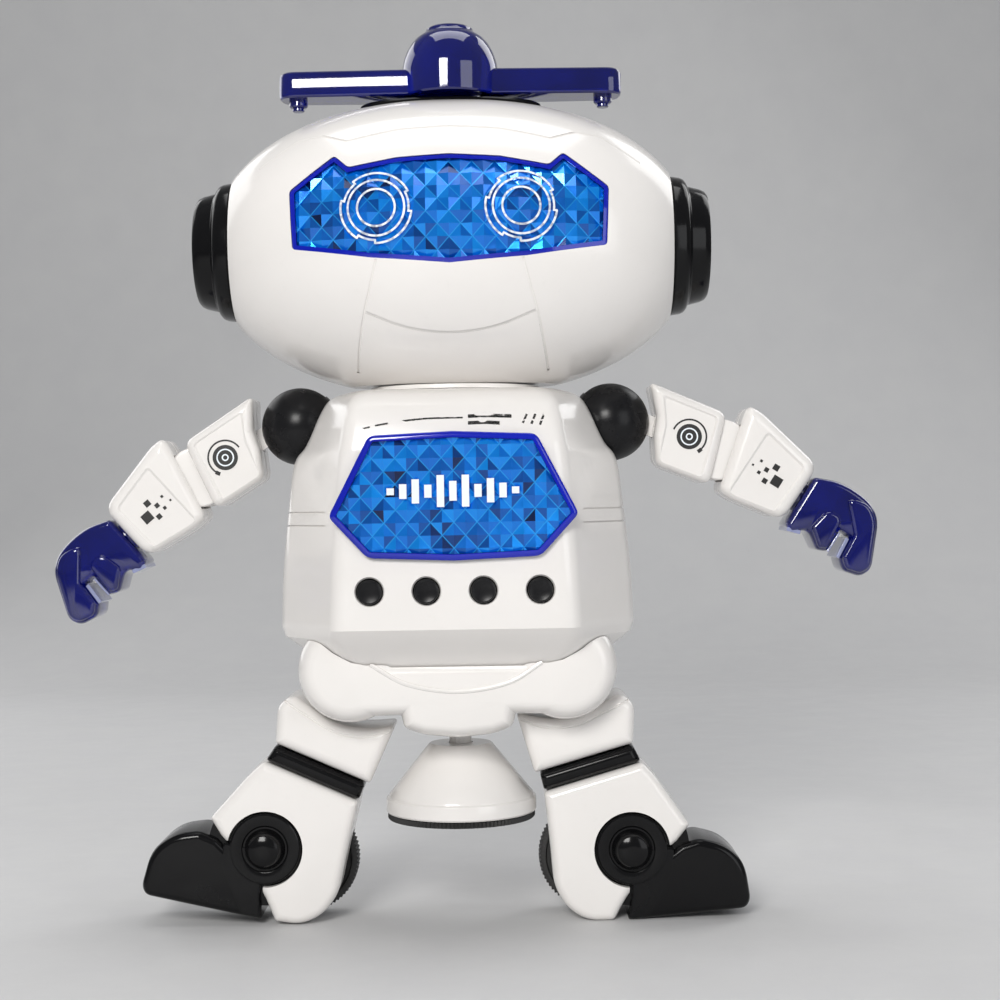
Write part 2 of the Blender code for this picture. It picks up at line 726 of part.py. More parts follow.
def wheel(word, side, low):
    """Serrated tyre and hub in one turning piece."""
    axle = pivot(word + "_wheel_axle", (side * WHEEL[0], 4.3, -WHEEL[1]), low)
    rows = [(-3.1, 1.0, 0.0), (-3.1, 0.0, 0.5), (3.1, 0.0, 0.5), (3.1, 1.0, 0.0)]
    tyre = loft([around(WHEEL_R - d, y, 52, wave) for y, d, wave in rows])
    place(word + "_heel_wheel", laid(tyre, "Y"), axle, RUBBER)


# ---------------------------------------------------------------- base and drive
TEETH = (10, 24, 24)           # motor pinion, idler, output gear
MODULE = 0.8
GEAR_Z = 68.6
GEAR_W = 3.4
IDLER_AT = (-0.4 * (24 + 24) - 0.15, 0.0)
PINION_AT = (IDLER_AT[0], -0.4 * (24 + 10) - 0.15)


def gear(teeth, bore, phase=0.0):
    """Spur gear with straight-sided teeth and a round bore."""
    r = 0.5 * MODULE * teeth
    outer = []
    for k in range(teeth):
        for share, size in ((-0.26, -1.0), (-0.10, 0.75), (0.10, 0.75), (0.26, -1.0)):
            turn = 2 * math.pi * (k + phase + share) / teeth
            size_r = r + size * MODULE
            outer.append((size_r * math.cos(turn), size_r * math.sin(turn)))
    inner = []
    for x, y in outer:
        length = math.hypot(x, y)
        inner.append((bore * x / length, bore * y / length))
    rings = [[(x, y, 0.0) for x, y in outer], [(x, y, GEAR_W) for x, y in outer]]
    rings += [[(x, y, GEAR_W) for x, y in inner], [(x, y, 0.0) for x, y in inner]]
    return loft(rings, True)


def base_parts(turn):
    """Cone, rubber ring and plate that turn under the body."""
    cone = [(8.0, BASE_TOP), (18.0, 30.6), (18.7, 30.0), (18.7, 26.8)]
    hollow = [(16.6, 26.8), (16.6, 29.8), (6.4, 42.0), (3.1, 42.0), (3.1, BASE_TOP)]
    place("base_cone", turned(cone + hollow, 32, True), turn)
    tread = [(18.3, 26.5), (18.3, BASE_LOW), (15.0, BASE_LOW), (15.0, 26.5)]
    rings = [around(r, z, 56, 0.4 if r > 18 else 0.0) for r, z in tread]
    place("base_tread_ring", loft(rings, True), turn, RUBBER)
    plate = [(14.6, 25.6), (14.6, 27.4), (16.2, 27.6), (16.2, 29.0)]
    place("base_bottom_plate", turned(plate, 32), turn, INNER)
    shaft = [(2.8, 29.3), (2.8, 66.4), (4.6, 66.6), (4.6, 68.3), (2.4, 68.4), (2.4, 76.0)]
    place("base_shaft", turned(shaft, 16), turn)
    place("output_gear", gear(TEETH[2], 2.6), turn, GEAR, (0.0, 0.0, GEAR_Z))


def drive_parts():
    """Plate, motor, pinion and idler inside the body."""
    plate = soft_box((38.0, 27.0, 1.6), (-12.0, -5.0, 73.4), 0.4)
    post = rod(1.4, 1.4, 6.6, (*IDLER_AT, 70.2), 12)
    frame = place("gearbox_plate", joined_solid(plate, [post]), ROOT, INNER)
    cut(frame, rod(2.9, 2.9, 6.0, (0.0, 0.0, 73.4), 16))
    cut(frame, rod(1.5, 1.5, 6.0, (*PINION_AT, 73.4), 12))
    can = [(2.4, 74.6), (3.0, 75.2), (7.3, 75.4), (7.5, 76.0), (7.5, 94.0), (6.8, 95.0)]
    place("motor", turned(can, 24), ROOT, STEEL, (*PINION_AT, 0.0))
    spin = pivot("pinion_axle", (*PINION_AT, GEAR_Z), ROOT)
    shaft = rod(1.0, 1.0, 6.6, (0.0, 0.0, 2.5), 12)
    teeth = gear(TEETH[0], 0.9, 0.5)
    place("motor_pinion", joined_solid(teeth, [shaft]), spin, GEAR)
    idle = pivot("idler_axle", (*IDLER_AT, GEAR_Z), ROOT)
    place("idler_gear", gear(TEETH[1], 1.7, 0.5), idle, GEAR)


# ---------------------------------------------------------------- inside the body
def board(name, size, centre, lamps, lamp_r, lamp_h):
    plate = box(size, centre)
    y = centre[1] - 0.5 * size[1] - 0.5 * lamp_h + 0.2
    studs = [rod(lamp_r, lamp_r, lamp_h, (x, y, z), 12, "Y") for x, z in lamps]
    place(name, joined_solid(plate, studs), ROOT, BOARD)


DOOR = (39.4, 45.4)
DOOR_Z = 96.0
BAY_Z = 96.8                   # three AAA cells, 44.5 mm long, stand side by side


def inside_parts():
    board("circuit_board", (46.0, 1.4, 38.0), (0.0, -24.6, 96.0),
          [(-12.0, 105.0), (0.0, 105.0), (12.0, 105.0)], 2.0, 3.0)
    speaker = [(9.0, -2.5), (9.0, 1.0), (7.0, 2.5)]
    place("speaker", laid(turned(speaker, 24), "Y"), ROOT, BLACK, (16.0, -8.0, 107.0))
    holder = place("battery_box", box((36.0, 15.0, 48.6), (0.0, 16.6, BAY_Z)), ROOT, BLACK)
    cut(holder, box((33.0, 20.0, 46.0), (0.0, 20.6, BAY_Z)))
    for x in (-5.6, 5.6):
        cut(holder, box((0.8, 8.0, 6.0), (x, 10.6, DOOR_Z)))
    door = pivot("door_slide", (0.0, 26.0, DOOR_Z), ROOT)
    plate = soft_box((DOOR[0], 1.8, DOOR[1]), (0.0, 0.3, 0.0), 0.4)
    place("battery_door", plate, door)
    switch = pivot("switch_slide", (-1.5, 24.4, 69.6), ROOT)
    knob = soft_box((3.2, 4.4, 2.8), (0.0, 0.4, 0.0), 0.4)
    flange = box((10.0, 1.0, 4.0), (1.5, -2.1, 0.2))
    place("power_switch", joined_solid(knob, [flange]), switch, BLACK)
    for i, x in enumerate(BUTTONS):
        slide = pivot("button_slide_%d" % (i + 1), (x, -32.0, BUTTON_Z), ROOT)
        profile = [(3.9, -4.5), (3.9, -3.0), (BUTTON_R, -2.9), (BUTTON_R, 0.4), (2.3, 1.0)]
        cap = laid(turned(profile, 20), "Y")
        place("button_%d" % (i + 1), cap, slide, BLACK)


def main():
    torso_parts()
    pelvis_parts()
    head = pivot("head_pivot", (0.0, 0.0, 0.0), ROOT)
    head_parts(head)
    rotor_parts(head)
    arm("left", 1, ARM_L, ELBOW_L)
    arm("right", -1, ARM_R, ELBOW_R)
    leg("left", 1, HIP_L, LEG_L)
    leg("right", -1, HIP_R, LEG_R)
    base_parts(pivot("base_turn", (0.0, 0.0, 0.0), ROOT))
    drive_parts()
    inside_parts()


main()
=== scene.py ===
"""Toy humanoid robot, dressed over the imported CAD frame: smooth moulded shells, faceted blue lenses,
printed marks and procedural plastics. Shapes are drawn in millimetres, +Z up, front -Y."""

import json
from math import cos, hypot, pi, radians, sin, sqrt

import bmesh
import bpy
from mathutils import Matrix, Vector
from mathutils.bvhtree import BVHTree

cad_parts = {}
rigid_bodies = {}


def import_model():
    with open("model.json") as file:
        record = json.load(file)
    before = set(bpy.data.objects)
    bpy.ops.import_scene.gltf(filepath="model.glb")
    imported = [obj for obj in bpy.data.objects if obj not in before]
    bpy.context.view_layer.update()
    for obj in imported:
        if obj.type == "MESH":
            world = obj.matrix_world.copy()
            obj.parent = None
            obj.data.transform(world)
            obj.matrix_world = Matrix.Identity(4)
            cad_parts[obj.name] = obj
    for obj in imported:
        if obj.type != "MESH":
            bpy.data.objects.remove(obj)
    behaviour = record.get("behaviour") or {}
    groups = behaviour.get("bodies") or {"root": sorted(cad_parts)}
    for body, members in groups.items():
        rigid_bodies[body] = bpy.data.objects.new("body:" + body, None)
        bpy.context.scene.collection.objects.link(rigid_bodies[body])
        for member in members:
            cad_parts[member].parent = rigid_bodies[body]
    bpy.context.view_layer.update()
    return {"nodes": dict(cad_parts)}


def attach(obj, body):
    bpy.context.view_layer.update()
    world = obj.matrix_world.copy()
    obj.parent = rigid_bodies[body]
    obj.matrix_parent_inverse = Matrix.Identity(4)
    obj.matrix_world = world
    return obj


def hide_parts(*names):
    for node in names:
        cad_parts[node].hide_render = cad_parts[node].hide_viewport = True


for thing in list(bpy.data.objects):
    bpy.data.objects.remove(thing, do_unlink=True)
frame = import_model()

MM = 0.001
GAP = 0.3
WALL = 2.0
BODY = (-2.3, -0.3, -0.6)      # body axis in the row frame
HEAD_Z = 166.7                 # head centre
HEAD_A = 60.0                  # head half length of the full egg
HEAD_R = 36.8                  # head radius
HEAD_N = 2.2                   # egg fullness
HEAD_END = 53.6                # where the egg is cut for the ear caps
EGG_LIMIT = 59.0               # beyond this the egg is not drawn
SHOULDER = (38.5, 0.0, 123.0)
BALL_R = 9.9
ELBOW = (27.5, 4.0)
WRIST = (22.8, 1.0)
HIP_X = 25.8
HIP_BALL = 12.6
HIP_Z = 63.7
ANKLE = (2.6, 48.9)
WHEEL = (-7.3, 49.6)
WHEEL_Y = 4.3
WHEEL_R = 13.3
ARM_DEPTH = 9.4
LEG_DEPTH = 10.4
ROTOR_Z = 204.4
SPLIT_Y = 1.5
MIDDLE = Vector((0.0, 0.0, 0.11))      # what the lamps face, in metres
BUTTONS = (-19.9, -6.65, 6.65, 19.9)
BUTTON_Z = 83.0
BUTTON_R = 2.9
SIDES = {                      # side, arm turn, elbow turn, hip height, leg turn
    "left": (1, 23.8, 8.9, 64.3, -16.0),
    "right": (-1, -34.2, -6.1, 63.1, 24.0),
}


# ---------------- materials
class Nodes:
    """Short hand for building one material's nodes."""

    def __init__(self, name):
        self.mat = bpy.data.materials.new(name)
        self.mat.use_nodes = True
        self.tree = self.mat.node_tree
        self.shader = self.tree.nodes["Principled BSDF"]
        self.coords = self.add("TexCoord").outputs["Object"]

    def add(self, kind, **values):
        node = self.tree.nodes.new("ShaderNode" + kind)
        for key, value in values.items():
            if key in node.inputs:
                node.inputs[key].default_value = value
            else:
                setattr(node, key, value)
        return node

    def link(self, out, into):
        self.tree.links.new(out, into)

    def finish(self, **values):
        """Set the shader's own inputs, named with _ for a space."""
        for key, value in values.items():
            self.shader.inputs[key.replace("_", " ")].default_value = value
        return self.mat

    def noise(self, scale, detail=4.0, rough=0.55):
        node = self.add("TexNoise", Scale=scale, Detail=detail, Roughness=rough)
        self.link(self.coords, node.inputs["Vector"])
        return node.outputs["Fac"]

    def ramp(self, source, stops):
        node = self.add("ValToRGB")
        band = node.color_ramp.elements
        while len(band) < len(stops):
            band.new(0.5)
        for element, (at, colour) in zip(band, stops):
            element.position = at
            element.color = colour if len(colour) == 4 else (*colour, 1.0)
        self.link(source, node.inputs["Fac"])
        return node.outputs["Color"]

    def mix(self, factor, first, second, how="MIX"):
        node = self.add("Mix", data_type="RGBA", blend_type=how)
        for value, socket in ((factor, 0), (first, 6), (second, 7)):
            if hasattr(value, "is_linked"):
                self.link(value, node.inputs[socket])
            elif socket:
                node.inputs[socket].default_value = (*value, 1.0)
            else:
                node.inputs[0].default_value = value
        return node.outputs[2]

    def bump(self, height, strength, distance):
        node = self.add("Bump", Strength=strength, Distance=distance)
        self.link(height, node.inputs["Height"])
        self.link(node.outputs["Normal"], self.shader.inputs["Normal"])


def grey(v):
    return (v, v, v)


def plastic(name, colour, dark, rough, coat=0.0, dust=0.0, grain=0.02, transmission=0.0,
            metal=0.0, scratch=0.0, ior=1.5):
    """Moulded plastic: cloudy tone, handled sheen, fine scratches and a slight skin texture."""
    n = Nodes(name)
    cloud = n.noise(38.0, 5.0)
    fine = n.noise(900.0, 3.0)
    base = n.mix(n.ramp(cloud, [(0.30, grey(0.0)), (0.72, grey(1.0))]), dark, colour)
    edge = n.add("NewGeometry").outputs["Pointiness"]
    worn = n.ramp(edge, [(0.53, grey(0.0)), (0.66, grey(1.0))])
    pale = tuple(min(1.0, 0.94 * c + 0.05) for c in colour)
    base = n.mix(n.mix(0.72, worn, grey(0.0)), base, pale if dust else colour)
    if dust:
        specks = n.ramp(n.noise(310.0, 6.0, 0.7), [(0.60, grey(0.0)), (0.74, grey(dust))])
        base = n.mix(specks, base, (0.42, 0.40, 0.37))
    n.link(base, n.shader.inputs["Base Color"])
    sheen = n.ramp(n.noise(64.0, 6.0, 0.65), [(0.30, grey(rough * 0.78)), (0.75, grey(rough * 1.3))])
    if scratch:
        lines = n.add("TexWave", Scale=160.0, Distortion=22.0, Detail=4.0)
        n.link(n.coords, lines.inputs["Vector"])
        marks = n.ramp(lines.outputs["Fac"], [(0.93, grey(0.0)), (1.0, grey(scratch))])
        sheen = n.mix(1.0, sheen, marks, "ADD")
    n.link(sheen, n.shader.inputs["Roughness"])
    n.bump(fine, grain, 0.0004)
    return n.finish(Metallic=metal, IOR=ior, Coat_Weight=coat, Coat_Roughness=0.05,
                    Transmission_Weight=transmission)


FACET = (2.7, 3.0)             # half width and half height of one pyramid of the lenses


def lens_foil():
    """Silvered facets seen through clear blue: each facet gets a painted reflection, a random brightness
    from near black to bright blue, and a painted highlight along its edge.
    """
    n = Nodes("lens_facets")

    def maths(how, first, second):
        node = n.add("Math", operation=how)
        for socket, value in zip(node.inputs, (first, second)):
            if hasattr(value, "is_linked"):
                n.link(value, socket)
            else:
                socket.default_value = value
        return node.outputs[0]

    split = n.add("SeparateXYZ")
    n.link(n.coords, split.inputs[0])
    across = maths("DIVIDE", maths("SUBTRACT", split.outputs["X"], BODY[0] * MM), FACET[0] * MM)
    up = maths("DIVIDE", maths("SUBTRACT", split.outputs["Z"], BODY[2] * MM), FACET[1] * MM)
    rise = maths("ADD", maths("ADD", across, up), 1.0)
    fall = maths("ADD", maths("SUBTRACT", across, up), 1.0)
    name = n.add("CombineXYZ")
    n.link(maths("FLOOR", across, 0.0), name.inputs[0])
    n.link(maths("FLOOR", up, 0.0), name.inputs[1])
    pair = [maths("FLOOR", maths("MULTIPLY", slope, 0.5), 0.0) for slope in (rise, fall)]
    n.link(maths("ADD", pair[0], maths("MULTIPLY", pair[1], 0.37)), name.inputs[2])
    # painted reflection: every facet takes a random brightness, near black to bright blue, in place of the
    # light its silvered face would catch
    chance = n.add("TexWhiteNoise", noise_dimensions="3D")
    n.link(name.outputs[0], chance.inputs["Vector"])
    tone = n.ramp(chance.outputs["Value"], [
        (0.0, (0.0, 0.010, 0.07)), (0.07, (0.0, 0.09, 0.42)), (0.5, (0.0, 0.19, 0.78)),
        (1.0, (0.0, 0.31, 0.98)),
    ])
    # painted highlight: a pale blue band along every facet edge
    near = maths("MINIMUM", maths("PINGPONG", rise, 1.0), maths("PINGPONG", fall, 1.0))
    edge = n.ramp(near, [(0.03, grey(0.75)), (0.09, grey(0.0))])
    n.link(n.mix(edge, tone, (0.02, 0.42, 1.0)), n.shader.inputs["Base Color"])
    n.link(n.ramp(n.noise(260.0), [(0.3, grey(0.14)), (0.7, grey(0.26))]), n.shader.inputs["Roughness"])
    n.bump(n.noise(1200.0, 2.0), 0.04, 0.0003)
    return n.finish(Metallic=0.55, Coat_Weight=0.5, Coat_Roughness=0.04)


WHITE = plastic("white_shell", (0.84, 0.815, 0.79), (0.81, 0.785, 0.76), 0.20, coat=0.35, dust=0.05,
                grain=0.006, scratch=0.03)
BLACK = plastic("gloss_black", (0.006, 0.006, 0.0065), (0.004, 0.004, 0.0045), 0.13, grain=0.008,
                scratch=0.05, ior=1.30)
SATIN = plastic("satin_black", (0.012, 0.012, 0.013), (0.007, 0.007, 0.008), 0.28, dust=0.03,
                grain=0.03, ior=1.28)
RUBBER = plastic("tyre_rubber", (0.026, 0.025, 0.025), grey(0.014), 0.62, dust=0.14, grain=0.25)
BLUE = plastic("clear_dark_blue", (0.002, 0.008, 0.26), (0.001, 0.003, 0.09), 0.06, coat=0.8,
               grain=0.012, transmission=0.5)
RIM = plastic("lens_rim", (0.002, 0.012, 0.46), (0.001, 0.008, 0.34), 0.10, coat=0.4)
PALE = plastic("clear_inner", (0.50, 0.54, 0.80), (0.34, 0.38, 0.66), 0.12, coat=0.6, grain=0.03,
               transmission=0.35)
INK = plastic("black_print", (0.016, 0.015, 0.015), grey(0.010), 0.42, grain=0.06)
WHITE_INK = plastic("white_print", (0.86, 0.90, 0.94), (0.76, 0.82, 0.88), 0.45, grain=0.05)
GREY = plastic("inner_plastic", (0.50, 0.51, 0.53), (0.42, 0.43, 0.45), 0.45, dust=0.2, grain=0.08)
BOARD = plastic("circuit_board", (0.02, 0.16, 0.05), (0.01, 0.11, 0.03), 0.42, coat=0.2, dust=0.1,
                grain=0.12)
STEEL = plastic("plated_steel", (0.62, 0.62, 0.64), (0.50, 0.50, 0.52), 0.26, dust=0.1, grain=0.06,
                metal=1.0)
GEAR = plastic("gear_acetal", (0.82, 0.79, 0.68), (0.74, 0.70, 0.58), 0.42, dust=0.1, grain=0.06)
FOIL = lens_foil()


# ---------------- mesh helpers
def turned_frame(parent, at, tilt=0.0):
    return parent @ Matrix.Translation(at) @ Matrix.Rotation(radians(tilt), 4, "Y")


ROOT = Matrix.Translation(BODY)


def mesh_of(bm, name):
    bmesh.ops.recalc_face_normals(bm, faces=bm.faces)
    mesh = bpy.data.meshes.new(name)
    bm.to_mesh(mesh)
    bm.free()
    return mesh


def placed(name, data):
    made = bpy.data.objects.new(name, data)
    bpy.context.scene.collection.objects.link(made)
    return made


def scratch(bm):
    return placed("scratch", mesh_of(bm, "scratch"))


def solved(bm, steps):
    """Boolean a mesh with (how, other mesh) in turn and give the result back as a mesh."""
    base = scratch(bm)
    tools = []
    for how, other in steps:
        tool = scratch(other)
        tools.append(tool)
        step = base.modifiers.new("cut", "BOOLEAN")
        step.operation, step.solver, step.object = how, "EXACT", tool
    bpy.context.view_layer.update()
    graph = bpy.context.evaluated_depsgraph_get()
    done = bmesh.new()
    mesh = bpy.data.meshes.new_from_object(base.evaluated_get(graph))
    done.from_mesh(mesh)
    bpy.data.meshes.remove(mesh)
    for used in tools + [base]:
        bpy.data.objects.remove(used, do_unlink=True)
    bmesh.ops.remove_doubles(done, verts=done.verts, dist=0.0005)
    bmesh.ops.dissolve_degenerate(done, edges=done.edges, dist=0.0005)
    return done


def cut(bm, *others):
    return solved(bm, [("DIFFERENCE", other) for other in others])


def joined(bm, *others):
    return solved(bm, [("UNION", other) for other in others])


def piece(name, bm, body, mat, at=ROOT, replaces=(), smooth=0.55, bevel=0.0, egg_like=False):
    """Finish a shape drawn in millimetres in the frame at, and make it ride on a body."""
    if egg_like:
        marks = egg_normals(bm)
    mesh = mesh_of(bm, name)
    if not mesh.polygons:
        raise ValueError(name + " has no faces")
    mesh.transform(Matrix.Scale(MM, 4) @ at)
    mesh.materials.append(mat)
    made = placed(name, mesh)
    if smooth:
        mesh.shade_smooth()
        mesh.set_sharp_from_angle(angle=smooth)
    if egg_like:
        mesh.update()
        set_normals(mesh, marks)
    if bevel:
        step = made.modifiers.new("edges", "BEVEL")
        step.width, step.segments, step.limit_method = bevel * MM, 2, "ANGLE"
        step.angle_limit = 0.6
        step.harden_normals = bool(smooth)
    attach(made, body)
    if replaces:
        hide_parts(*replaces)


def dress(name, bm, body, mat, at=ROOT, smooth=0.5, **more):
    """A piece that takes the place of the CAD node of that name."""
    piece("visual_" + name, bm, body, mat, at, (name,), smooth, **more)


def halves(stem):
    """The names of a front and a rear shell, and whether each is the front one."""
    return (stem + "_front_shell", True), (stem + "_rear_shell", False)


def loft(rings, closed=False):
    bm = bmesh.new()
    rows = [[bm.verts.new(p) for p in ring] for ring in rings]
    count = len(rows[0])
    pairs = list(zip(rows, rows[1:]))
    if closed:
        pairs.append((rows[-1], rows[0]))
    for low, high in pairs:
        for i in range(count):
            j = (i + 1) % count
            bm.faces.new((low[i], low[j], high[j], high[i]))
    if not closed:
        bm.faces.new(rows[0][::-1])
        bm.faces.new(rows[-1])
    return bm


def box(size, centre=(0.0, 0.0, 0.0), r=0.0):
    bm = bmesh.new()
    bmesh.ops.create_cube(bm, size=1.0)
    bmesh.ops.scale(bm, vec=size, verts=bm.verts)
    if r:
        bmesh.ops.bevel(bm, geom=bm.edges, offset=r, segments=3, profile=0.5, affect="EDGES")
    bmesh.ops.translate(bm, vec=centre, verts=bm.verts)
    return bm


def around(r, z, steps, wave=0.0):
    points = []
    for i in range(steps):
        turn = 2 * pi * i / steps
        size = r - wave * (i % 2)
        points.append((size * cos(turn), size * sin(turn), z))
    return points


def turned(profile, steps=72, closed=False):
    return loft([around(r, z, steps) for r, z in profile], closed)


def laid(bm, axis):
    turn = {"X": Matrix.Rotation(pi / 2, 3, "Y"), "Y": Matrix.Rotation(pi / 2, 3, "X")}
    bmesh.ops.rotate(bm, matrix=turn[axis], verts=bm.verts)
    return bm


def moved(bm, shift):
    bmesh.ops.translate(bm, vec=shift, verts=bm.verts)
    return bm


def rod(r, height, centre=(0.0, 0.0, 0.0), axis="Z", steps=48, soft=0.0):
    half = 0.5 * height
    profile = [(r - soft, -half), (r, soft - half), (r, half - soft), (r - soft, half)] if soft \
        else [(r, -half), (r, half)]
    bm = turned(profile, steps)
    return moved(bm if axis == "Z" else laid(bm, axis), centre)


def ball(r, steps=72, rows=40):
    bm = bmesh.new()
    bmesh.ops.create_uvsphere(bm, u_segments=steps, v_segments=rows, radius=r)
    return bm


def filleted(points, steps=6):
    rounded = []
    count = len(points)
    for i in range(count):
        a, b, c = (Vector(points[k % count][:2]) for k in (i - 1, i, i + 1))
        r = points[i][2]
        if r <= 0:
            rounded.append(tuple(b))
            continue
        start = b + (a - b).normalized() * min(r, 0.45 * (a - b).length)
        end = b + (c - b).normalized() * min(r, 0.45 * (c - b).length)
        for k in range(steps + 1):
            t = k / steps
            rounded.append(tuple(start.lerp(b, t).lerp(b.lerp(end, t), t)))
    return rounded


def inset(corners, d):
    """Move each side of an outline of (x, z, radius) corners inwards by d."""
    count = len(corners)
    turn = sum(
        corners[i - 1][0] * corners[i][1] - corners[i][0] * corners[i - 1][1]
        for i in range(count)
    )
    side = 1.0 if turn > 0 else -1.0
    shifted = []
    for i in range(count):
        a, b, c = (Vector(corners[k % count][:2]) for k in (i - 1, i, i + 1))
        e1, e2 = (b - a).normalized(), (c - b).normalized()
        n1, n2 = Vector((-e1.y, e1.x)) * side, Vector((-e2.y, e2.x)) * side
        mid = (n1 + n2).normalized()
        at = b + mid * d / max(0.5, mid.dot(n1))
        r = corners[i][2]
        shifted.append((at.x, at.y, max(0.15, r - d) if r > 0 else 0.0))
    return shifted


def outline_ring(corners, d, steps=6):
    return filleted(inset(corners, d), steps)


def slab(corners, stations, steps=6):
    return loft([[(x, y, z) for x, z in outline_ring(corners, d, steps)] for y, d in stations])


def rounded_rows(y0, y1, r, count=5, soft=0.0):
    """Stations from y0 to y1 with a quarter round of radius r at y1 and soft at y0."""
    way = 1.0 if y1 > y0 else -1.0
    rows = [(y0, soft), (y0 + way * soft, 0.0)] if soft else [(y0, 0.0)]
    for k in range(count + 1):
        a = 0.5 * pi * k / count
        rows.append((y1 - way * r * (1.0 - sin(a)), r * (1.0 - cos(a))))
    return rows


def sided(points, side):
    return points if side > 0 else [(-p[0],) + tuple(p[1:]) for p in points]


def seen_from(at, points, side):
    """An outline on one side of the body, measured from the joint at (x, z)."""
    return [(x - side * at[0], z - at[1], r) for x, z, r in sided(points, side)]


def soft_rows(depth, r, count=6):
    """Stations through a block that is rounded on its front and its back."""
    return rounded_rows(0.0, -depth, r, count)[::-1] + rounded_rows(0.0, depth, r, count)[1:]


def other_half(front, split, size, z):
    """A block over the half that a shell leaves to its partner, and the gap between them."""
    way = 1.0 if front else -1.0
    return box(size, (0.0, split + way * 0.5 * (size[1] - GAP), z))


# ---------------- lines and prints on a surface
PRINT_DEEP, PRINT_HIGH = -0.12, 0.07     # how far a print reaches into and out of its surface


def tree_of(bm):
    return BVHTree.FromBMesh(bm)


def on_face(tree, x, z, lift=0.0, start=-120.0):
    """The front surface's point at (x, z), lifted off it by lift."""
    hit, normal, _, _ = tree.ray_cast(Vector((x, start, z)), Vector((0.0, 1.0, 0.0)))
    if hit is None:
        return Vector((x, 0.0, z))
    if normal.y > 0:
        normal.negate()
    return hit + normal * lift


def resampled(points, step, closed=False):
    pts = [Vector(p) for p in points]
    if closed:
        pts.append(pts[0])
    out = []
    for a, b in zip(pts, pts[1:]):
        parts = max(1, round((b - a).length / step))
        out += [a.lerp(b, k / parts) for k in range(parts)]
    if not closed:
        out.append(pts[-1])
    return out


def spline(a, b, c, d, t):
    """The point a fraction t of the way from b to c on a curve through all four."""
    return 0.5 * (2 * b + (c - a) * t + (2 * a - 5 * b + 4 * c - d) * t * t
                  + (3 * b - a - 3 * c + d) * t ** 3)


def curve_through(points, step=0.8):
    """A smooth line through a few points."""
    p = [Vector(q) for q in points]
    p = [2 * p[0] - p[1]] + p + [2 * p[-1] - p[-2]]
    out = []
    for a, b, c, d in zip(p, p[1:], p[2:], p[3:]):
        parts = max(2, round((c - b).length / step))
        out += [spline(a, b, c, d, k / parts) for k in range(parts)]
    return out + [p[-2]]


def arc(cx, cz, r, start, end, step=0.35):
    parts = max(3, round(abs(radians(end - start)) * r / step))
    turns = [radians(start + (end - start) * k / parts) for k in range(parts + 1)]
    return [Vector((cx + r * cos(turn), cz + r * sin(turn))) for turn in turns]


def tube(points, r, sides=8):
    """Closed tube along 3-D points, as a groove cutter or a moulded ridge."""
    rings = []
    for i, at in enumerate(points):
        ahead = points[min(i + 1, len(points) - 1)] - points[max(i - 1, 0)]
        along = ahead.normalized()
        u = along.cross(Vector((0.0, 1.0, 0.0))).normalized()
        v = along.cross(u)
        turns = [2 * pi * k / sides for k in range(sides)]
        rings.append([tuple(at + r * (cos(turn) * u + sin(turn) * v)) for turn in turns])
    return loft(rings)


def surface_tube(tree, line, r, lift=0.0):
    return tube([on_face(tree, p[0], p[1], lift) for p in line], r)


def ribbon(tree, line, width, closed=False, high=PRINT_HIGH):
    """Printed line: a flat band that lies on the surface."""
    rings = []
    count = len(line)
    for i, at in enumerate(line):
        if closed:
            ahead = line[(i + 1) % count] - line[i - 1]
        else:
            ahead = line[min(i + 1, count - 1)] - line[max(i - 1, 0)]
        across = Vector((-ahead.y, ahead.x)).normalized() * 0.5
        a, b = at + across * width, at - across * width
        corners = ((a, PRINT_DEEP), (a, high), (b, high), (b, PRINT_DEEP))
        rings.append([tuple(on_face(tree, p.x, p.y, lift)) for p, lift in corners])
    return loft(rings, closed)


def patch(tree, corners):
    """Printed solid shape from a convex outline, laid on the surface."""
    ring = resampled(corners, 0.7, True)
    return loft([[tuple(on_face(tree, p.x, p.y, lift)) for p in ring] for lift in (PRINT_DEEP, PRINT_HIGH)])


def gathered(shapes):
    """Several separate closed shapes as one mesh."""
    whole = shapes[0]
    for other in shapes[1:]:
        mesh = bpy.data.meshes.new("part")
        other.to_mesh(mesh)
        other.free()
        whole.from_mesh(mesh)
        bpy.data.meshes.remove(mesh)
    return whole


def pyramids(surface, x0, x1, z0, z1, deep=0.95, thick=1.4):
    """Closed sheet whose front is covered with four-sided points on a diamond grid."""
    bm = bmesh.new()
    made = {}
    half, tall = FACET

    def vert(i, j, back):
        key = (i, j, back)
        if key not in made:
            x, z = x0 + half * i, z0 + tall * j
            tip = (i + j) % 2 == 0
            y = surface(x, z) + (thick if back else (0.0 if tip else deep))
            made[key] = bm.verts.new((x, y, z))
        return made[key]

    nx, nz = round((x1 - x0) / half), round((z1 - z0) / tall)
    for i in range(nx):
        for j in range(nz):
            flip = (i + j) % 2
            for back in (False, True):
                a, b = vert(i, j, back), vert(i + 1, j, back)
                c, d = vert(i + 1, j + 1, back), vert(i, j + 1, back)
                for tri in (((a, b, c), (a, c, d)) if flip else ((a, b, d), (b, c, d))):
                    bm.faces.new(tri if not back else tri[::-1])
    edges = [((i, j), (i + 1, j)) for i in range(nx) for j in (0, nz)]
    edges += [((i, j), (i, j + 1)) for j in range(nz) for i in (0, nx)]
    for a, b in edges:
        bm.faces.new((vert(*a, False), vert(*a, True), vert(*b, True), vert(*b, False)))
    return bm


# ---------------- head
def egg(x, grow=0.0):
    return HEAD_R * (1.0 - (min(abs(x), EGG_LIMIT) / HEAD_A) ** HEAD_N) ** (1.0 / HEAD_N) + grow


def head_solid(grow=0.0, end=HEAD_END, steps=128, count=72):
    rings = []
    for k in range(count + 1):
        x = end * sin(pi / 2 * (2.0 * k / count - 1.0))
        r = egg(x, grow)
        turns = [2 * pi * i / steps for i in range(steps)]
        rings.append([(x, r * sin(t), HEAD_Z + r * cos(t)) for t in turns])
    return loft(rings)


